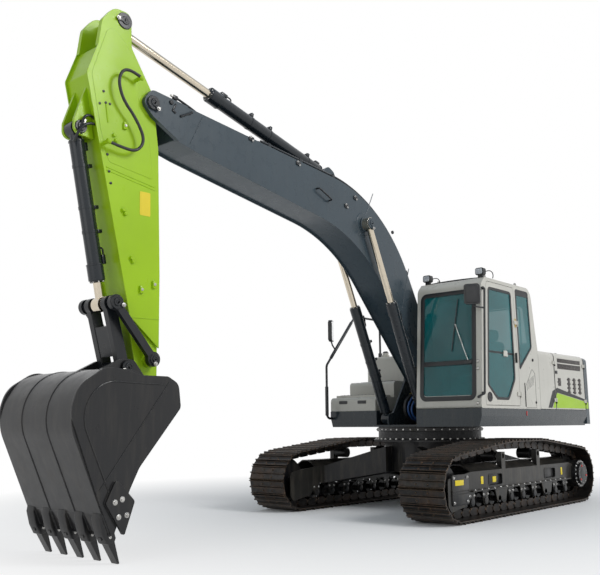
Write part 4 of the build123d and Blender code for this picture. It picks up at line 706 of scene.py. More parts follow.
def makeUndercarriageTrim(values):
    caps, bolts, yellow, red = made = pieces("undercarriage", frameCaps="frameBlack", frameBolts="boltSteel",
                                             framePlates="yellowPlate", driveCaps="capRed")
    gauge, hubX, hubZ = values["gauge"], -values["wheelX"], values["wheelZ"]
    upward = (0, 0, 1)
    for side in bothSides:
        face, out = side * (gauge + values["wall"]), (0, side, 0)
        guard = face + side * 0.012
        z = values["recessZ"]
        for x in values["recess"]:
            caps.block((0.40, 0.006, 0.19), (x, face - side * 0.022, z))
            caps.slab(rect(x - 0.178, z - 0.073, x + 0.178, z + 0.073), face - side * 0.001, face + side * 0.005,
                      corner=0.036, width=0.010)
        for x, z, width, height, lift, thick in values["plates"]:
            yellow.block((width, thick, height), (x, face + side * lift, z), bevel=0.001)
        caps.slab(rect(*values["guard"]), face, guard, corner=0.03, bevel=0.003)
        for z in values["guardBars"]:
            caps.rod((1.405, guard, z), (1.775, guard, z), 0.006, 8)
        for x in (1.44, 1.74):
            for z in (0.235, 0.51):
                bolts.bolt((x, guard, z), out, 0.013)
        for i in range(values["rollers"]):
            x, z = (i - (values["rollers"] - 1) / 2) * values["rollerPitch"], values["rollerZ"]
            if abs(x) > values["rollerReach"]:
                continue
            for y, faced in ((face, side), (side * (gauge - values["wall"]), -side)):
                caps.lathe((x, y, z), (0, faced, 0), values["rollerCap"])
                for dx in (-0.048, 0.048):
                    bolts.bolt((x + dx, y, z + 0.075), (0, faced, 0), 0.011)
        for i in range(17):
            bolts.bolt((0.16 * i - 1.28, face + side * 0.022, 0.346), upward, 0.010)
        for x in values["carriers"]:
            y = side * (gauge + 0.12)
            caps.block((0.17, 0.05, 0.05), (x, y, 0.585), bevel=0.008)
            caps.lathe((x, side * (gauge + 0.092), values["carrierZ"]), out, values["carrierCap"])
            for dx in (-0.062, 0.062):
                bolts.bolt((x + dx, y, 0.610), upward, 0.012)
        for dx, dz in around(18, 0.171):
            bolts.bolt((hubX + dx, side * values["drive"], hubZ + dz), out, 0.010)
        cover = side * values["cover"]
        for dx, dz in around(3, 0.112, 75):
            red.lathe((hubX + dx, cover - side * 0.001, hubZ + dz), out, values["redCap"], 16)
        for dx, dz in around(10, 0.134, 18):
            bolts.bolt((hubX + dx, cover - side * 0.004, hubZ + dz), out, 0.007, 0.006)
        caps.lathe((hubX, cover - side * 0.002, hubZ), out, values["hubCap"])
    radius = values["bearing"]
    for z, rows in values["bearingRings"]:
        caps.lathe((0, 0, z), upward, [(h, radius + r) for h, r in rows], 96, closed=True)
    for ray in around(values["bearingBolts"], 1.0, 180 / values["bearingBolts"]):
        ray = Vector((*ray, 0))
        bolts.bolt(ray * (radius + 0.034) + Vector((0, 0, 0.914)), upward, 0.013, 0.014)
        bolts.bolt(ray * (radius + 0.021) + Vector((0, 0, 1.046)), ray, 0.008, 0.007)
    for sx in bothSides:
        for sy in bothSides:
            caps.tube([(sx * 0.34, sy * 0.42, 0.822), (sx * 0.56, sy * 0.80, 0.62)], 0.008, smooth=False)
    for piece in made:
        piece.finish(sharp=30 if piece is bolts else 35)


makeUndercarriageTrim(lower)
print("stage: undercarriage")

# Where the boom, the arm and the bucket stand
boomSpace = space(0.096, 1.774, 25.8)
armSpace = space(5.2188, 4.2505, -91.7)
bucketSpace = space(5.1320, 1.3248)


# Keeper of one pin end: collar ring, grooved end, flag plate and its bolt
def addPin(collar, bolts, place, side, y, radius, angle=0.0, rim=1.7):
    x, z = place
    out = (0, side, 0)
    collar.lathe((x, side * y, z), out, [(0, radius * 1.04), (0.012, radius * 1.04), (0.012, radius * rim),
                                        (0.004, radius * (rim + 0.12)), (0, radius * (rim + 0.12))],
                 36, closed=True)
    collar.lathe((x, side * y, z), out, [(0, radius), (0.017, radius), (0.022, radius * 0.86),
                                        (0.022, radius * 0.62), (0.018, radius * 0.58), (0.018, radius * 0.42),
                                        (0.021, radius * 0.38)], 28)
    lean = Vector((math.cos(math.radians(angle)), math.sin(math.radians(angle))))
    across = Vector((-lean.y, lean.x)) * radius * 0.5
    root = Vector(place)
    tip = root + lean * radius * (rim + 0.5)
    outline = [tuple(p) for p in (root - across, tip - across, tip + across, root + across)]
    collar.slab(outline, side * (y + 0.012), side * (y + 0.021), corner=radius * 0.3)
    spot = tip - lean * 0.018
    bolts.bolt((spot.x, side * (y + 0.021), spot.y), out, 0.015, 0.013)


boomTrim = {
    "half": 0.220, "fork": 0.238,
    "seams": (((5.117, -0.035), (5.117, 0.335)), ((1.13, 0.40), (1.215, 1.04)), ((2.35, 0.80), (2.33, 1.50))),
    "rodPin": (2.328, 0.981), "nosePin": (5.69, 0),
    "grab": ((3.30, 0.815), (3.04, 0.83)),
    "clamps": ((2.73, 0.985), (2.62, 1.20), (3.70, 0.885), (4.45, 0.62)),
    "buttons": ((5.52, 0.17), (1.75, 1.28), (0.55, 0.30)),
    "nosePipe": [(4.280, 0.155, 0.703), (4.700, 0.155, 0.540), (5.100, 0.160, 0.382), (5.300, 0.215, 0.318),
                 (5.480, 0.228, 0.268)],
    "pipeNuts": (((4.24, 0.715), (4.30, 0.700)), ((0.336, 0.290), (0.386, 0.328))), "pipeColumns": (0.135, 0.175),
}


def makeBoomTrim(values):
    lines, fittings, bright = made = pieces("boom", boomSpace, boomWelds="slatePaint", boomFittings="linkPaint",
                                            boomPins="boltSteel")
    (x0, z0), (x1, z1) = values["grab"]
    for side in bothSides:
        face, out = side * values["half"], (0, side, 0)
        for a, b in values["seams"]:
            lines.tube([(a[0], face, a[1]), (b[0], face, b[1])], 0.0055, smooth=False, ring=2)
        x, z = values["rodPin"]
        lines.lathe((x, side * 0.2285, z), out, [(-0.010, 0.150), (-0.010, 0.163), (-0.002, 0.154), (0, 0.150)],
                    48, closed=True)
        addPin(fittings, bright, values["nosePin"], side, 0.248, 0.040, 200, 1.75)
        for x, z in values["clamps"]:
            fittings.block((0.075, 0.014, 0.045), (x, face + side * 0.006, z), 25)
            for end in bothSides:
                bright.bolt((x + end * 0.022, face + side * 0.013, z + end * 0.010), out, 0.009)
        for x, z in values["buttons"]:
            fittings.lathe((x, face if x < 5.2 else side * values["fork"], z), out,
                           [(-0.002, 0.024), (0.012, 0.024), (0.016, 0.019)], 20)
        fork = side * (values["fork"] + 0.004)
        fittings.rod((5.363, fork, 0.119), (5.260, fork, 0.270), 0.013, 8)
        fittings.block((0.018, 0.014, 0.090), (5.468, fork, 0.150), bevel=0.003)
        fittings.block((0.050, 0.014, 0.018), (5.450, fork, 0.108), bevel=0.003)
        fittings.tube([(x, side * y, z) for x, y, z in values["nosePipe"]], 0.012, ring=3)
        fittings.block((0.060, 0.028, 0.044), (5.500, side * 0.228, 0.258), 20, bevel=0.005)
        bright.rod((5.530, side * 0.229, 0.248), (5.558, side * 0.230, 0.240), 0.013, 6)
        for y in values["pipeColumns"]:
            for a, b in values["pipeNuts"]:
                fittings.rod((a[0], side * y, a[1]), (b[0], side * y, b[1]), 0.022, 6)
        away = face + side * 0.055
        fittings.tube([(x0, face, z0), (x0, away, z0), (x0 - 0.03, away, z0), (x1 + 0.03, away, z1),
                       (x1, away, z1), (x1, face, z1)], 0.010, ring=3)
    finishAll(made)


makeBoomTrim(boomTrim)

# Pins by place, y, radius, keeper's angle and rim
armTrim = {
    "half": 0.184,
    "doubler": [(-0.610, 0.505), (-0.650, 0.430), (-0.590, 0.345), (-0.350, 0.115), (-0.170, 0.132), (0.170, 0.132),
                (0.300, 0.010), (0.760, -0.035), (0.690, 0.475), (0.400, 0.565), (-0.130, 0.670)],
    "holes": ((0.020, 0.540), (0.150, 0.581), (0.126, 0.515), (0.125, 0.468), (0.623, 0.490), (0.782, 0.470),
              (0.891, 0.450)),
    "bar": ((0.140, 0.512), (0.312, 0.489)),
    "seams": (((0.745, 0.500), (0.835, -0.065)), ((0.775, 0.495), (0.865, -0.070)), ((2.130, 0.215), (2.130, -0.115))),
    "plate": (0.9025, -0.0105, 1.1375, 0.1145),
    "bosses": ((1.123, 0.309), (1.155, 0.285), (1.57, 0.214), (1.60, 0.195), (0.42, 0.42), (0.47, 0.40)),
    "brackets": ((1.799, -0.05), (1.86, 0.10), (0.30, 0.30)),
    "pins": (((-0.769, 0.304), 0.184, 0.040, 90, 2.0), ((0.391, 0.725), 0.105, 0.040, 200, 1.45),
             ((2.516, -0.005), 0.2545, 0.030, 0, 1.6)),
    "hoses": ([(0.30, 0.130, 0.585), (0.26, 0.150, 0.66), (0.33, 0.140, 0.74), (0.46, 0.100, 0.72)],
              [(0.36, 0.150, 0.560), (0.34, 0.165, 0.66), (0.44, 0.150, 0.78), (0.56, 0.110, 0.80)]),
}


def makeArmTrim(values):
    plates, sign, dark, bright = made = pieces("arm", armSpace, armPlates="limePaint", armSign="yellowPlate",
                                               armFittings="linkPaint", armPins="boltSteel")
    (x0, z0), (x1, z1) = values["bar"]
    for side in bothSides:
        face, out = side * values["half"], (0, side, 0)
        plates.slab(values["doubler"], face - side * 0.001, face + side * 0.0025, corner=0.03)
        for a, b in values["seams"]:
            plates.tube([(a[0], face, a[1]), (b[0], face, b[1])], 0.005, smooth=False, ring=2)
        sign.slab(rect(*values["plate"]), face, face + side * 0.002, corner=0.012)
        for x, z in values["bosses"]:
            plates.lathe((x, face, z), out, [(-0.002, 0.020), (0.022, 0.020), (0.026, 0.015)], 20)
        for x, z in values["holes"]:
            dark.lathe((x, face, z), out, [(-0.002, 0.013), (0.006, 0.013), (0.008, 0.008)], 16)
        plates.rod((x0, face + side * 0.003, z0), (x1, face + side * 0.003, z1), 0.008, 8)
        for x, z in values["brackets"]:
            plates.block((0.070, 0.026, 0.040), (x, face + side * 0.012, z), bevel=0.005)
            bright.bolt((x, face + side * 0.025, z), out, 0.010)
        for place, *row in values["pins"]:
            addPin(dark, bright, place, side, *row)
        plates.lathe((0, face + side * 0.002, 0), out,
                     [(-0.004, 0.080), (-0.004, 0.118), (0.003, 0.108), (0.003, 0.080)], 40, closed=True)
    for points in values["hoses"]:
        dark.tube(points, 0.013)
    finishAll(made)


makeArmTrim(armTrim)

# Each cylinder: foot, tip, y, tube radius, rod radius, tube end, swell, body,
# then the foot ring, the start of its line, its first clamp and its port
cylinders = {
    "boomCylinder": ((0.600, 1.200), (1.7649, 3.6704), 0.300, 0.070, 0.042, 1.640, 0.005, "boom_cylinder_tubes",
                     0.300, 0.62, 0.68, 0.62),
    "armCylinder": ((2.3154, 4.2597), (5.5455, 5.0102), 0.0, 0.078, 0.048, 2.010, 0.010, "arm_cylinder_tube",
                    0.112, 0.17, 0.35, 0.165),
    "bucketCylinder": ((5.9319, 3.8382), (5.5770, 2.2290), 0.0, 0.068, 0.040, 1.420, 0.009, "bucket_cylinder_tube",
                       0.112, 0.17, 0.35, 0.165),
}


def makeCylinderTrim(name, foot, tip, y, radius, rodRadius, end, swell, body, footRing, lineStart, firstClamp, port):
    angle = math.degrees(math.atan2(tip[1] - foot[1], tip[0] - foot[0]))
    dark, bright = made = [Piece(name + "Collars", "tubePaint", body), Piece(name + "Bolts", "boltSteel", body)]
    outer = radius + swell
    up = -1 if name == "bucketCylinder" else 1
    line, back = up * (radius + 0.028), up * radius
    rings = [
        [(end - 0.152, outer - 0.004), (end - 0.152, outer + 0.0025), (end - 0.140, outer + 0.0025),
         (end - 0.136, outer - 0.004)],
        [(end - 0.002, rodRadius + 0.002), (end - 0.002, outer - 0.006), (end + 0.010, outer - 0.010),
         (end + 0.014, rodRadius + 0.012), (end + 0.020, rodRadius + 0.006), (end + 0.020, rodRadius + 0.002)],
        [(footRing, radius - 0.004), (footRing, radius + 0.006), (footRing + 0.014, radius + 0.006),
         (footRing + 0.018, radius - 0.004)],
    ]
    clamps = (firstClamp, end * 0.52, end * 0.68)
    rings += [[(x - 0.014, radius - 0.003), (x - 0.014, radius + 0.004), (x + 0.014, radius + 0.004),
               (x + 0.014, radius - 0.003)] for x in clamps]
    for side in (bothSides if y else (1,)):
        dark.at = bright.at = space(*foot, angle, side * y)
        for rows in rings:
            dark.lathe((0, 0, 0), (1, 0, 0), rows, 40, closed=True)
        for a, b in around(8, rodRadius + (outer - rodRadius) * 0.62, 22.5):
            bright.rod((end + 0.008, a, b), (end + 0.019, a, b), 0.007, 6)
        for shift in (-0.022, 0.022):
            first = lineStart if shift < 0 else end - 0.30
            dark.tube([(first, shift, back), (first, shift, line), (first + 0.05, shift, line),
                       (end - 0.22, shift, line), (end - 0.17, shift, line), (end - 0.17, shift, back)],
                      0.009, ring=3)
        for x in clamps:
            dark.block((0.035, 0.078, 0.050), (x, 0, up * (radius + 0.020)), bevel=0.005)
            bright.bolt((x, 0, up * (radius + 0.045)), (0, 0, up), 0.008)
        dark.block((0.090, 0.075, 0.040), (end - 0.19, 0, up * (outer + 0.012)), bevel=0.006)
        dark.block((0.080, 0.070, 0.036), (port, 0, up * (radius + 0.010)), bevel=0.006)
    finishAll(made)


for name, row in cylinders.items():
    makeCylinderTrim(name, *row)

# Pins on other bodies: body, collars and ends with their materials, then each pin's place, y, radius, angle, rim
rodPins = (
    ("boom_cylinder_rods", {"boomRodCollars": "slatePaint", "boomRodPins": "boltSteel"},
     (((1.7649, 3.6704), 0.3452, 0.040, 250, 1.7),)),
    ("guide_links", {"linkCollars": "linkPaint", "linkPins": "boltSteel"},
     (((5.5770, 2.2290), 0.254, 0.040, 200, 1.6),)),
    ("house", {"footCollars": "frameBlack", "footPins": "boltSteel"},
     (((0.600, 1.200), 0.350, 0.040, 180, 1.6), ((0.096, 1.774), 0.274, 0.045, 250, 1.9))),
)
linkEyes = (((5.5770, 2.2290), 0.070), ((5.1392, 1.7357), 0.062))


def makeRodPins(rows):
    for body, names, pins in rows:
        collars, ends = made = pieces(body, **names)
        for side in bothSides:
            for place, *row in pins:
                addPin(collars, ends, place, side, *row)
            for (x, z), radius in (linkEyes if body == "guide_links" else ()):
                inner = radius - 0.014
                collars.lathe((x, side * 0.254, z), (0, side, 0),
                              [(-0.003, inner), (-0.003, radius), (0.004, radius - 0.003), (0.004, inner)],
                              36, closed=True)
        finishAll(made)


makeRodPins(rodPins)
print("stage: boom, arm and cylinders")

bucketTrim = {
    "half": 0.580, "cutter": 0.606, "seams": (-0.193, 0.193), "teeth": 5,
    "lip": (0.664, 0.0, -1.080), "lipLean": 245.5, "arcCentre": (0.6566, -0.1308), "arcEnds": (-24.5, 92.3),
    "seamArc": 0.412, "seamStart": [(0.675, -1.085), (1.0315, -0.3016)], "seamEnd": [(0.640, 0.281), (0.470, 0.274)],
    "rimArc": 0.300, "rimStart": [(0.620, -0.900), (0.9296, -0.2551)],
    "rimEnd": [(0.644, 0.169), (0.420, 0.160), (0.150, 0.160)],
    "ridge": ((0.093, 0.175), (0.790, -0.720)),
    "cutterBolts": ((0.53, -0.93), (0.58, -0.80), (0.61, -0.94), (0.65, -0.82)),
    "pins": (((0, 0), 0.221, 0.040, 150, 1.6), ((0.275, 0.325), 0.221, 0.040, 330, 1.5)),
    "tooth": [(-0.200, -0.014), (-0.160, -0.040), (-0.040, -0.058), (0.055, -0.050), (0.075, -0.030),
              (0.075, 0.030), (0.055, 0.050), (-0.040, 0.058), (-0.160, 0.040), (-0.200, 0.014)],
}


# Points along the bucket's wrapper: a straight start, the arc, a straight end
def wrapperLine(values, kind):
    cx, cz = values["arcCentre"]
    low, high = values["arcEnds"]
    arc = []
    for i in range(1, 12):
        a = math.radians(low + (high - low) * i / 12)
        arc.append((cx + values[kind + "Arc"] * math.cos(a), cz + values[kind + "Arc"] * math.sin(a)))
    return [*values[kind + "Start"], *arc, *values[kind + "End"]]


def makeBucketTrim(values):
    plates, dark, bright = made = pieces("bucket", bucketSpace, bucketPlates="bucketPaint",
                                         bucketFittings="linkPaint", bucketPins="boltSteel")
    for side in bothSides:
        face = side * values["half"]
        plates.tube([(x, face, z) for x, z in wrapperLine(values, "rim")], 0.007, ring=2)
        plates.tube([(x, face, z) for x, z in values["ridge"]], 0.006, smooth=False, ring=2)
        for x, z in values["cutterBolts"]:
            bright.bolt((x, side * values["cutter"], z), (0, side, 0), 0.017, 0.012)
        for place, *row in values["pins"]:
            addPin(dark, bright, place, side, *row)
    for y in values["seams"]:
        plates.tube([(x, y, z) for x, z in wrapperLine(values, "seam")], 0.008, ring=2)
    lean = Matrix.Rotation(math.radians(-values["lipLean"]), 4, "Y")
    plates.at = bright.at = bucketSpace @ Matrix.Translation(values["lip"]) @ lean
    plates.block((0.165, 1.150, 0.030), (-0.105, 0, 0), bevel=0.010)
    for i in range(values["teeth"]):
        y = (i - (values["teeth"] - 1) / 2) * (values["half"] * 2 - 0.150) / (values["teeth"] - 1)
        plates.slab(values["tooth"], y - 0.056, y + 0.056, bevel=0.008)
        for z in bothSides:
            plates.slab([(-0.005, z * 0.056), (0.02, z * 0.056), (0.02, z * 0.063), (-0.005, z * 0.063)],
                        y - 0.02, y + 0.02)
        bright.rod((0.02, y - 0.060, 0), (0.02, y + 0.060, 0), 0.013, 12)
    finishAll(made)


makeBucketTrim(bucketTrim)
print("stage: bucket")

# Cab trim, its front on a frame of its own
cabFront = Matrix.Translation((0.847, 0.860, 2.100)) @ Matrix(
    ((0, -0.0782, 0.9969), (1, 0, 0), (0, 0.9969, 0.0782))).to_4x4()
cab = {
    "side": 1.335, "inner": 0.385,
    "windscreen": (-0.420, -0.695, 0.405, 0.740), "screenBar": -0.212,
    "doorGlass": [(0.725, 1.600), (0.605, 2.875), (-0.040, 2.875), (-0.055, 1.700), (0.155, 1.420), (0.485, 1.420)],
    "quarterGlass": [(-0.165, 2.935), (-0.560, 2.935), (-0.600, 2.150), (-0.190, 1.820)],
    "quarterBand": [(-0.175, 2.930), (-0.550, 2.930), (-0.556, 2.850), (-0.180, 2.850)],
    "rightGlass": [(0.560, 1.850), (0.520, 2.850), (-0.560, 2.850), (-0.600, 1.850)],
    "rearGlass": (0.58, 2.14, 1.14, 2.76), "hatch": (-0.38, 0.58, 0.22, 1.14), "frontPanel": (0.46, 1.34, 1.26, 1.40),
    "roofSeal": [(0.60, 0.43, 2.995), (0.66, 0.60, 2.998), (0.66, 1.12, 2.998), (0.60, 1.29, 2.995)],
    "latch": [(0.15, 1.985), (0.27, 1.985), (0.255, 2.065), (0.165, 2.065)],
    "lock": [(0, 0.062), (0.008, 0.062), (0.010, 0.052), (0.006, 0.046), (0.006, 0.015), (0.010, 0.012)],
    "eyes": ((0.42, 1.20), (-0.46, 1.20), (0.42, 0.50)),
    "lamps": (0.460, 1.260),
    "pillarBolts": (1.894, 1.801, 1.372),
    "lowPanel": [(-0.335, 1.325), (-0.655, 1.325), (-0.655, 1.800), (-0.560, 1.860), (-0.335, 1.600)],
    "knobs": ((-0.599, 1.983, 0.020, 0.010, 0.014, 0.012), (-0.640, 1.400, 0.016, 0.008, 0.012, 0.010)),
    "hinges": ((0.884, 1.49), (0.768, 2.83)),
    "mirrors": (((0.588, -1.300, 2.510), 30, 0.180, 0.320), ((0.955, 1.300, 2.735), 110, 0.200, 0.260)),
}


def makeCabSeals(values):
    seal = Piece("cabSeals", "gasketBlack", "house", cabFront)
    face, inner = values["side"], values["inner"]
    seal.slab(rect(*values["windscreen"]), -0.001, 0.007, plane="xy", corner=0.090, width=0.058, bevel=0.003)
    seal.block((0.74, 0.060, 0.010), (0, values["screenBar"], 0.003))
    seal.at = Matrix()
    seal.slab(values["quarterGlass"], face - 0.006, face + 0.002, corner=0.045, width=0.030)
    seal.slab(values["quarterBand"], face - 0.008, face + 0.001)
    seal.slab(values["rightGlass"], inner - 0.002, inner + 0.006, corner=0.06, width=0.030)
    seal.slab(rect(*values["rearGlass"]), -0.712, -0.705, plane="yz", corner=0.05, width=0.02)
    seal.tube(values["roofSeal"], 0.010)
    door, latch, brass = pieces("cab_door", doorSeals="gasketBlack", doorLatch="whitePaint",
                                doorHinge="brassFitting")
    door.slab(values["doorGlass"], face - 0.008, face + 0.002, corner=0.055, width=0.034)
    door.block((0.66, 0.014, 0.030), (0.300, face - 0.012, 2.030), bevel=0.004)
    door.lathe((0.680, face - 0.002, 1.452), (0, 1, 0), values["lock"], 36)
    door.block((0.020, 0.030, 0.135), (-0.085, face + 0.012, 1.985), bevel=0.008)
    latch.slab(values["latch"], face - 0.004, face + 0.012, corner=0.015, bevel=0.004)
    brass.block((0.040, 0.006, 0.120), (-0.128, face + 0.004, 2.46), bevel=0.002)
    finishAll((seal, door, latch, brass))


def makeCabTrim(values):
    face, upward, left = values["side"], (0, 0, 1), (0, 1, 0)
    bright, lens, rims, panel, dark, mirror, backs = made = pieces(
        "house", cabBright="boltSteel", lampLenses="lampLens", lampRims="blackPlastic", cabPanels="whitePaint",
        cabDark="blackPlastic", mirrorGlass="mirrorFace", mirrorBacks="blackPlastic")
    for z in values["pillarBolts"]:
        bright.lathe((0.917 - (z - 1.31) * 0.0785, 1.290, z), (0.9969, 0, 0.0782),
                     [(-0.004, 0.020), (0.006, 0.020), (0.013, 0.013)], 20)
    for x, y in values["eyes"]:
        bright.lathe((x, y, 2.989), upward, [(0, 0.018), (0.012, 0.018), (0.016, 0.010), (0.030, 0.010)], 20)
        bright.lathe((x, y - 0.007, 3.045), left, [(0, 0.016), (0, 0.028), (0.014, 0.028), (0.014, 0.016)], 24,
                     closed=True)
    wiper = Piece("wiper", "blackPlastic", "house", cabFront)
    bright.at = cabFront
    bright.tube([(0.300, -0.200, 0.010), (0.292, -0.170, 0.026), (0.200, 0.060, 0.020), (0.110, 0.290, 0.014)], 0.006)
    wiper.tube([(0.060, -0.060, 0.009), (0.150, 0.620, 0.009)], 0.007, smooth=False)
    wiper.block((0.10, 0.05, 0.030), (0.300, values["screenBar"], 0.012), bevel=0.008)
    for y in values["lamps"]:
        lens.slab(rect(y - 0.047, 3.038, y + 0.047, 3.110), 0.677, 0.682, plane="yz", corner=0.016)
        for dy in (-0.024, 0.0, 0.024):
            for dz in (-0.018, 0.018):
                lens.lathe((0.681, y + dy, 3.074 + dz), (1, 0, 0), [(0, 0.010), (0.004, 0.006)], 12)
        for k in range(5):
            rims.block((0.020, 0.090, 0.004), (0.592, y, 3.040 + 0.017 * k), bevel=0.001)
        rims.tube([(0.600, y + 0.04, 3.07), (0.56, y + 0.09, 3.10), (0.52, y + 0.13, 3.04), (0.50, y + 0.10, 2.990)],
                  0.006)
    panel.slab(rect(*values["hatch"]), 2.985, 3.012, plane="xy", corner=0.06, bevel=0.006)
    panel.slab(rect(*values["frontPanel"]), 0.900, 0.908, plane="yz", corner=0.01)
    dark.slab(values["lowPanel"], face - 0.001, face + 0.0015, corner=0.02, width=0.005)
    for k in range(5):
        x, z = -0.385 - 0.045 * k, 1.560 + 0.018 * k
        dark.slab([(x, z), (x - 0.006, z), (x - 0.066, z + 0.150), (x - 0.060, z + 0.150)],
                  face - 0.001, face + 0.0015)
    for x, z, radius, height, top, tip in values["knobs"]:
        dark.lathe((x, face, z), left, [(-0.002, radius), (height, radius), (top, tip)], 20)
    dark.block((0.014, 0.010, 0.32), (-0.318, face + 0.002, 1.50), bevel=0.004)
    for x, z in values["hinges"]:
        dark.lathe((x, 1.345, z), left, [(0, 0.022), (0.020, 0.022), (0.026, 0.014)], 16)
    for place, turn, width, height in values["mirrors"]:
        a = math.radians(turn)
        w, h = width / 2 - 0.016, height / 2 - 0.016
        mirror.at = backs.at = basis(place, (math.cos(a), math.sin(a), 0), upward)
        mirror.slab(rect(-w, -h, w, h), 0.0245, 0.027, corner=0.028)
        backs.slab(rect(-w, -h, w, h), -0.024, -0.036, corner=0.03, bevel=0.008)
    finishAll((*made, wiper))


makeCabSeals(cab)
makeCabTrim(cab)
print("stage: cab")

body = {
    "side": 1.335, "trim": 0.0022,
    "ventRows": ((-2.262, -1.418, 1.904, 1.980), (-2.262, -1.418, 1.998, 2.056), (-1.838, -1.762, 1.545, 1.785),
                 (-2.038, -1.962, 1.545, 1.785), (-2.238, -2.162, 1.545, 1.785), (-1.512, -1.412, 1.655, 1.770)),
    "latchZ": 1.85,
    "wedge": ((-1.185, 1.334), (-1.355, 1.550), (-2.490, 1.427)),
    "wedgeSpans": (("left_front_door", -1.185, -1.286), ("left_rear_door", -1.321, -2.376), ("house", -2.404, -2.490)),
    "frontStripe": [(-1.035, 1.334), (-1.160, 1.334), (-1.285, 1.480), (-1.285, 1.600), (-1.200, 1.572)],
    "hoodHalves": (-0.55, 0.55), "intake": (-1.003, 1.0, 2.215),
}


# Height of the wedge's upper edge
def wedgeTop(values, x):
    (x0, z0), (x1, z1), (x2, z2) = values["wedge"]
    if x > x1:
        return z0 + (x0 - x) / (x0 - x1) * (z1 - z0)
    return z1 + (x1 - x) / (x1 - x2) * (z2 - z1)


def makeDoorTrim(values):
    face, thin = values["side"], values["trim"]
    for name, side in (("left_rear_door", 1), ("right_rear_door", -1)):
        mesh, latch = Piece(name + "Grille", "grilleDark", name), Piece(name + "Latches", "blackPlastic", name)
        for x0, x1, z0, z1 in values["ventRows"]:
            mesh.block((x1 - x0, 0.004, z1 - z0), ((x0 + x1) / 2, side * face, (z0 + z1) / 2), bevel=0.001)
        z = values["latchZ"]
        latch.block((0.075, 0.010, 0.045), (-1.365, side * (face + 0.002), z), bevel=0.004)
        latch.lathe((-1.348, side * (face + 0.006), z), (0, side, 0), [(0, 0.012), (0.005, 0.012), (0.007, 0.008)], 16)
        finishAll((mesh, latch))
    corner, low = values["wedge"][1], values["wedge"][0][1]
    for carrier, x0, x1 in values["wedgeSpans"]:
        lime = Piece(carrier + "Wedge", "limePaint", carrier)
        points = [(x0, low)]
        if wedgeTop(values, x0) > low + 0.001:
            points.append((x0, wedgeTop(values, x0)))
        if x0 > corner[0] > x1:
            points.append(corner)
        lime.slab(points + [(x1, wedgeTop(values, x1)), (x1, low)], face, face + thin)
        lime.finish()
    stripe = Piece("wedgeStripeFront", "gasketBlack", "left_front_door")
    stripe.slab(values["frontStripe"], face, face + thin)
    upper = Piece("wedgeStripeRear", "gasketBlack", "left_rear_door")
    start, end = wedgeTop(values, -1.321), wedgeTop(values, -2.376)
    upper.slab([(-1.321, start + 0.006), (-1.355, 1.556), (-2.376, end + 0.006), (-2.376, end + 0.036),
                (-1.365, 1.625), (-1.321, 1.612)], face, face + thin)
    finishAll((stripe, upper))


def makeBodyTrim(values):
    upward = (0, 0, 1)
    red, tail, grip = pieces("house", skirtReflectors="capRed", weightTrim="slatePaint", boxGrips="blackPlastic")
    lids, slots = pieces("engine_hood", hoodTrim="whitePaint", hoodSlots="grilleDark")
    treads = Piece("lidTreads", "grilleDark", "tool_box_lid")
    for side in bothSides:
        red.block((0.022, 0.006, 0.060), (-0.332, side * (values["side"] + 0.002), 1.250), bevel=0.002)
        red.block((0.006, 0.160, 0.050), (-2.757, side * 0.78, 1.300), 24 * side, "Z", bevel=0.002)
        tail.lathe((-2.600, side * 0.8, 2.110), upward, [(0, 0.10), (0.006, 0.10), (0.012, 0.085)], 32)
        slots.block((0.05, 0.11, 0.020), (-2.355, side * 0.30, 2.146), bevel=0.006)
    tail.block((0.30, 0.60, 0.014), (-2.62, 0, 2.122), bevel=0.006)
    for y in values["hoodHalves"]:
        lids.slab(rect(-2.25, y - 0.38, -1.45, y + 0.38), 2.139, 2.150, plane="xy", corner=0.06, bevel=0.004)
        for k in range(6):
            slots.block((0.40, 0.030, 0.006), (-1.85, y - 0.20 + 0.08 * k, 2.151), bevel=0.002)
    for y in (-1.10, -0.76):
        grip.block((0.014, 0.150, 0.045), (0.574, y, 1.438), bevel=0.006)
    for x in (-0.10, -0.22):
        grip.block((0.05, 0.55, 0.010), (x, -0.92, 1.752))
    for k in range(5):
        grip.rod((-0.03 - 0.06 * k, -1.22, 1.749), (-0.03 - 0.06 * k, -0.62, 1.757), 0.008, 10)
    grip.lathe((-0.480, -1.060, 2.2295), upward, [(0, 0.044), (0.010, 0.044), (0.018, 0.034)], 28)
    grip.block((0.020, 0.070, 0.022), (-0.480, -1.060, 2.245), bevel=0.006)
    grip.lathe((0.706, -1.300, 1.25), upward, [(0, 0.019), (0.006, 0.025), (0.42, 0.025), (0.426, 0.019)], 20)
    grip.rod((0.600, -1.300, 2.103), (0.080, -1.300, 2.686), 0.024, 20, bevel=0.004)
    grip.block((0.05, 0.05, 0.10), (-0.672, -1.300, 2.205), bevel=0.01)
    x, y, z = values["intake"]
    for dx, dy in around(12, 0.143):
        grip.block((0.006, 0.020, 0.050), (x + dx, y + dy, z), math.degrees(math.atan2(dy, dx)), "Z", bevel=0.002)
    treads.block((0.28, 0.62, 0.006), (0.32, -0.93, 1.544), bevel=0.002)
    for i in range(5):
        for j in range(9):
            x, y = 0.22 + 0.05 * i, -1.19 + 0.065 * j
            treads.rod((x, y, 1.545), (x, y, 1.551), 0.012, 10, 0.008)
    finishAll((red, tail, lids, slots, grip, treads))


makeDoorTrim(body)
makeBodyTrim(body)
print("stage: body")

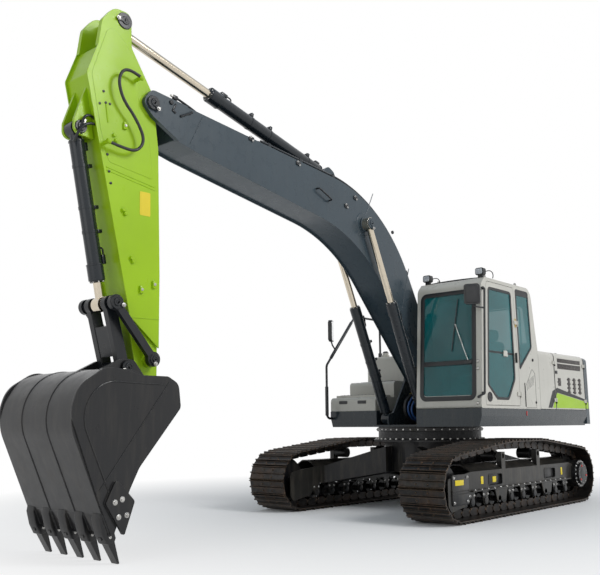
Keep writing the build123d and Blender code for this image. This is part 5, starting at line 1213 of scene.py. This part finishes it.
# Operator's place: a rigid base and padded pieces, filled by a short cloth run
seat = {
    "pads": (("seatCushion", (0.500, 0.480, 0.105), (-0.040, 0.860, 1.708), 0.0),
             ("seatBack", (0.085, 0.455, 0.520), (-0.217, 0.860, 1.980), -10.0),
             ("seatHeadrest", (0.085, 0.250, 0.165), (-0.290, 0.860, 2.330), -10.0)),
    "corner": 0.036, "voxel": 0.009, "pressure": 4.0, "frames": 20, "cap": 0.010, "fill": 0.7,
    "middle": 0.860, "folds": 4, "pipingCorner": 0.05, "pipingInset": 0.020, "pipingRadius": 0.006,
}


def applied(holder):
    view = holder.evaluated_get(bpy.context.evaluated_depsgraph_get())
    mesh = bpy.data.meshes.new_from_object(view)
    old = holder.data
    holder.modifiers.clear()
    holder.data = mesh
    bpy.data.meshes.remove(old)


def makePad(name, size, place, turn, values):
    at = Matrix.Translation(place) @ Matrix.Rotation(math.radians(turn), 4, "Y")
    shape = Piece(name, "seatCloth", "house", at)
    shape.block(size, (0, 0, 0), bevel=values["corner"], segments=5)
    pad = shape.finish("operator_seat")
    remesh = pad.modifiers.new("remesh", "REMESH")
    remesh.mode = "VOXEL"
    remesh.voxel_size = values["voxel"]
    applied(pad)
    start = [v.co.copy() for v in pad.data.vertices]
    cloth = pad.modifiers.new("cloth", "CLOTH")
    cloth.settings.use_pressure = True
    cloth.settings.uniform_pressure_force = values["pressure"]
    cloth.settings.effector_weights.gravity = 0
    for step in range(1, values["frames"] + 1):
        bpy.context.scene.frame_set(step)
    applied(pad)
    for vert, old in zip(pad.data.vertices, start):
        move = vert.co - old
        if move.length > values["cap"]:
            vert.co = old + move.normalized() * values["cap"]
    bpy.context.scene.frame_set(1)
    pad.data.polygons.foreach_set("use_smooth", [True] * len(pad.data.polygons))
    piping = Piece(name + "Piping", "gasketBlack", "house", at)
    thin = 0 if size[0] < size[2] else 2
    u, v = (k for k in (0, 1, 2) if k != thin)
    cut = values["pipingCorner"]
    for face in bothSides:
        points = []
        for su, sv in ((1, 1), (1, -1), (-1, -1), (-1, 1)):
            for du, dv in (((0.0, cut), (cut, 0.0)) if su * sv < 0 else ((cut, 0.0), (0.0, cut))):
                point = [0.0, 0.0, 0.0]
                point[thin] = face * (size[thin] / 2 - values["pipingInset"])
                point[u] = su * (size[u] / 2 - du)
                point[v] = sv * (size[v] / 2 - dv)
                points.append(tuple(point))
        piping.tube(points, values["pipingRadius"], cyclic=True, ring=2)
    piping.finish()


def makeSeat(values):
    base = Piece("seatBase", "blackPlastic", "house")
    y = values["middle"]
    base.block((0.420, 0.360, 0.060), (-0.060, y, 1.396), bevel=0.012)
    for k in range(values["folds"]):
        pull = 0.02 * (k % 2)
        base.block((0.390 - pull, 0.330 - pull, 0.045), (-0.060, y, 1.447 + 0.050 * k), bevel=0.016)
    base.block((0.440, 0.400, 0.030), (-0.060, y, 1.640), bevel=0.010)
    for side in bothSides:
        base.rod((-0.296, y + side * 0.065, 2.150), (-0.316, y + side * 0.065, 2.300), 0.009, 12)
        base.block((0.040, 0.020, 0.400), (-0.245, y + side * 0.210, 1.780), -10, bevel=0.006)
    base.finish("operator_seat")
    for row in values["pads"]:
        makePad(*row, values)


makeSeat(seat)
print("stage: seat")

# Lines between the boom's girders: routes in x and z, then kind, radius, y, y at the end and route
routes = {
    "outer": [(0.05, 1.13), (0.30, 1.15), (0.42, 1.30), (0.36, 1.48), (0.20, 1.55)],
    "inner": [(0.05, 1.13), (0.34, 1.15), (0.47, 1.30), (0.42, 1.46), (0.22, 1.56)],
    "blueRight": [(0.05, 1.13), (0.36, 1.16), (0.50, 1.30), (0.44, 1.44), (0.26, 1.56)],
    "blueLeft": [(0.05, 1.13), (0.36, 1.16), (0.52, 1.28), (0.46, 1.42), (0.28, 1.56)],
}
lineRows = [
    ("hoseRubber", 0.016, -0.15, -0.14, "outer"), ("hoseRubber", 0.016, -0.10, -0.10, "inner"),
    ("hoseRubber", 0.016, 0.10, 0.10, "inner"), ("hoseRubber", 0.016, 0.15, 0.14, "outer"),
    ("blueHose", 0.014, -0.03, -0.03, "blueRight"), ("blueHose", 0.014, 0.04, 0.04, "blueLeft"),
]


def makeLines(rows):
    rubber, blue, brass, block = made = pieces("house", hoseRubberPipes="hoseRubber", blueHosePipes="blueHose",
                                               lineFittings="brassFitting", valveBlock="frameBlack")
    for kind, radius, y, endY, route in rows:
        points = [Vector((x, y, z)) for x, z in routes[route]]
        points[-1].y = endY
        (rubber if kind == "hoseRubber" else blue).tube(points, radius)
        lead = (points[1] - points[0]).normalized()
        tail = (points[-1] - points[-2]).normalized()
        brass.rod(points[0] - lead * 0.01, points[0] + lead * 0.05, radius + 0.006, 6)
        brass.rod(points[-1] - tail * 0.05, points[-1] + tail * 0.01, radius + 0.006, 6)
    block.block((0.20, 0.42, 0.10), (-0.04, 0, 1.160), bevel=0.012)
    block.block((0.05, 0.40, 0.07), (0.185, 0, 1.510), 30, bevel=0.010)
    for side in bothSides:
        block.block((0.10, 0.006, 0.07), (0.165, side * 0.205, 1.500), 20, bevel=0.002)
    finishAll(made)


makeLines(lineRows)
print("stage: lines")
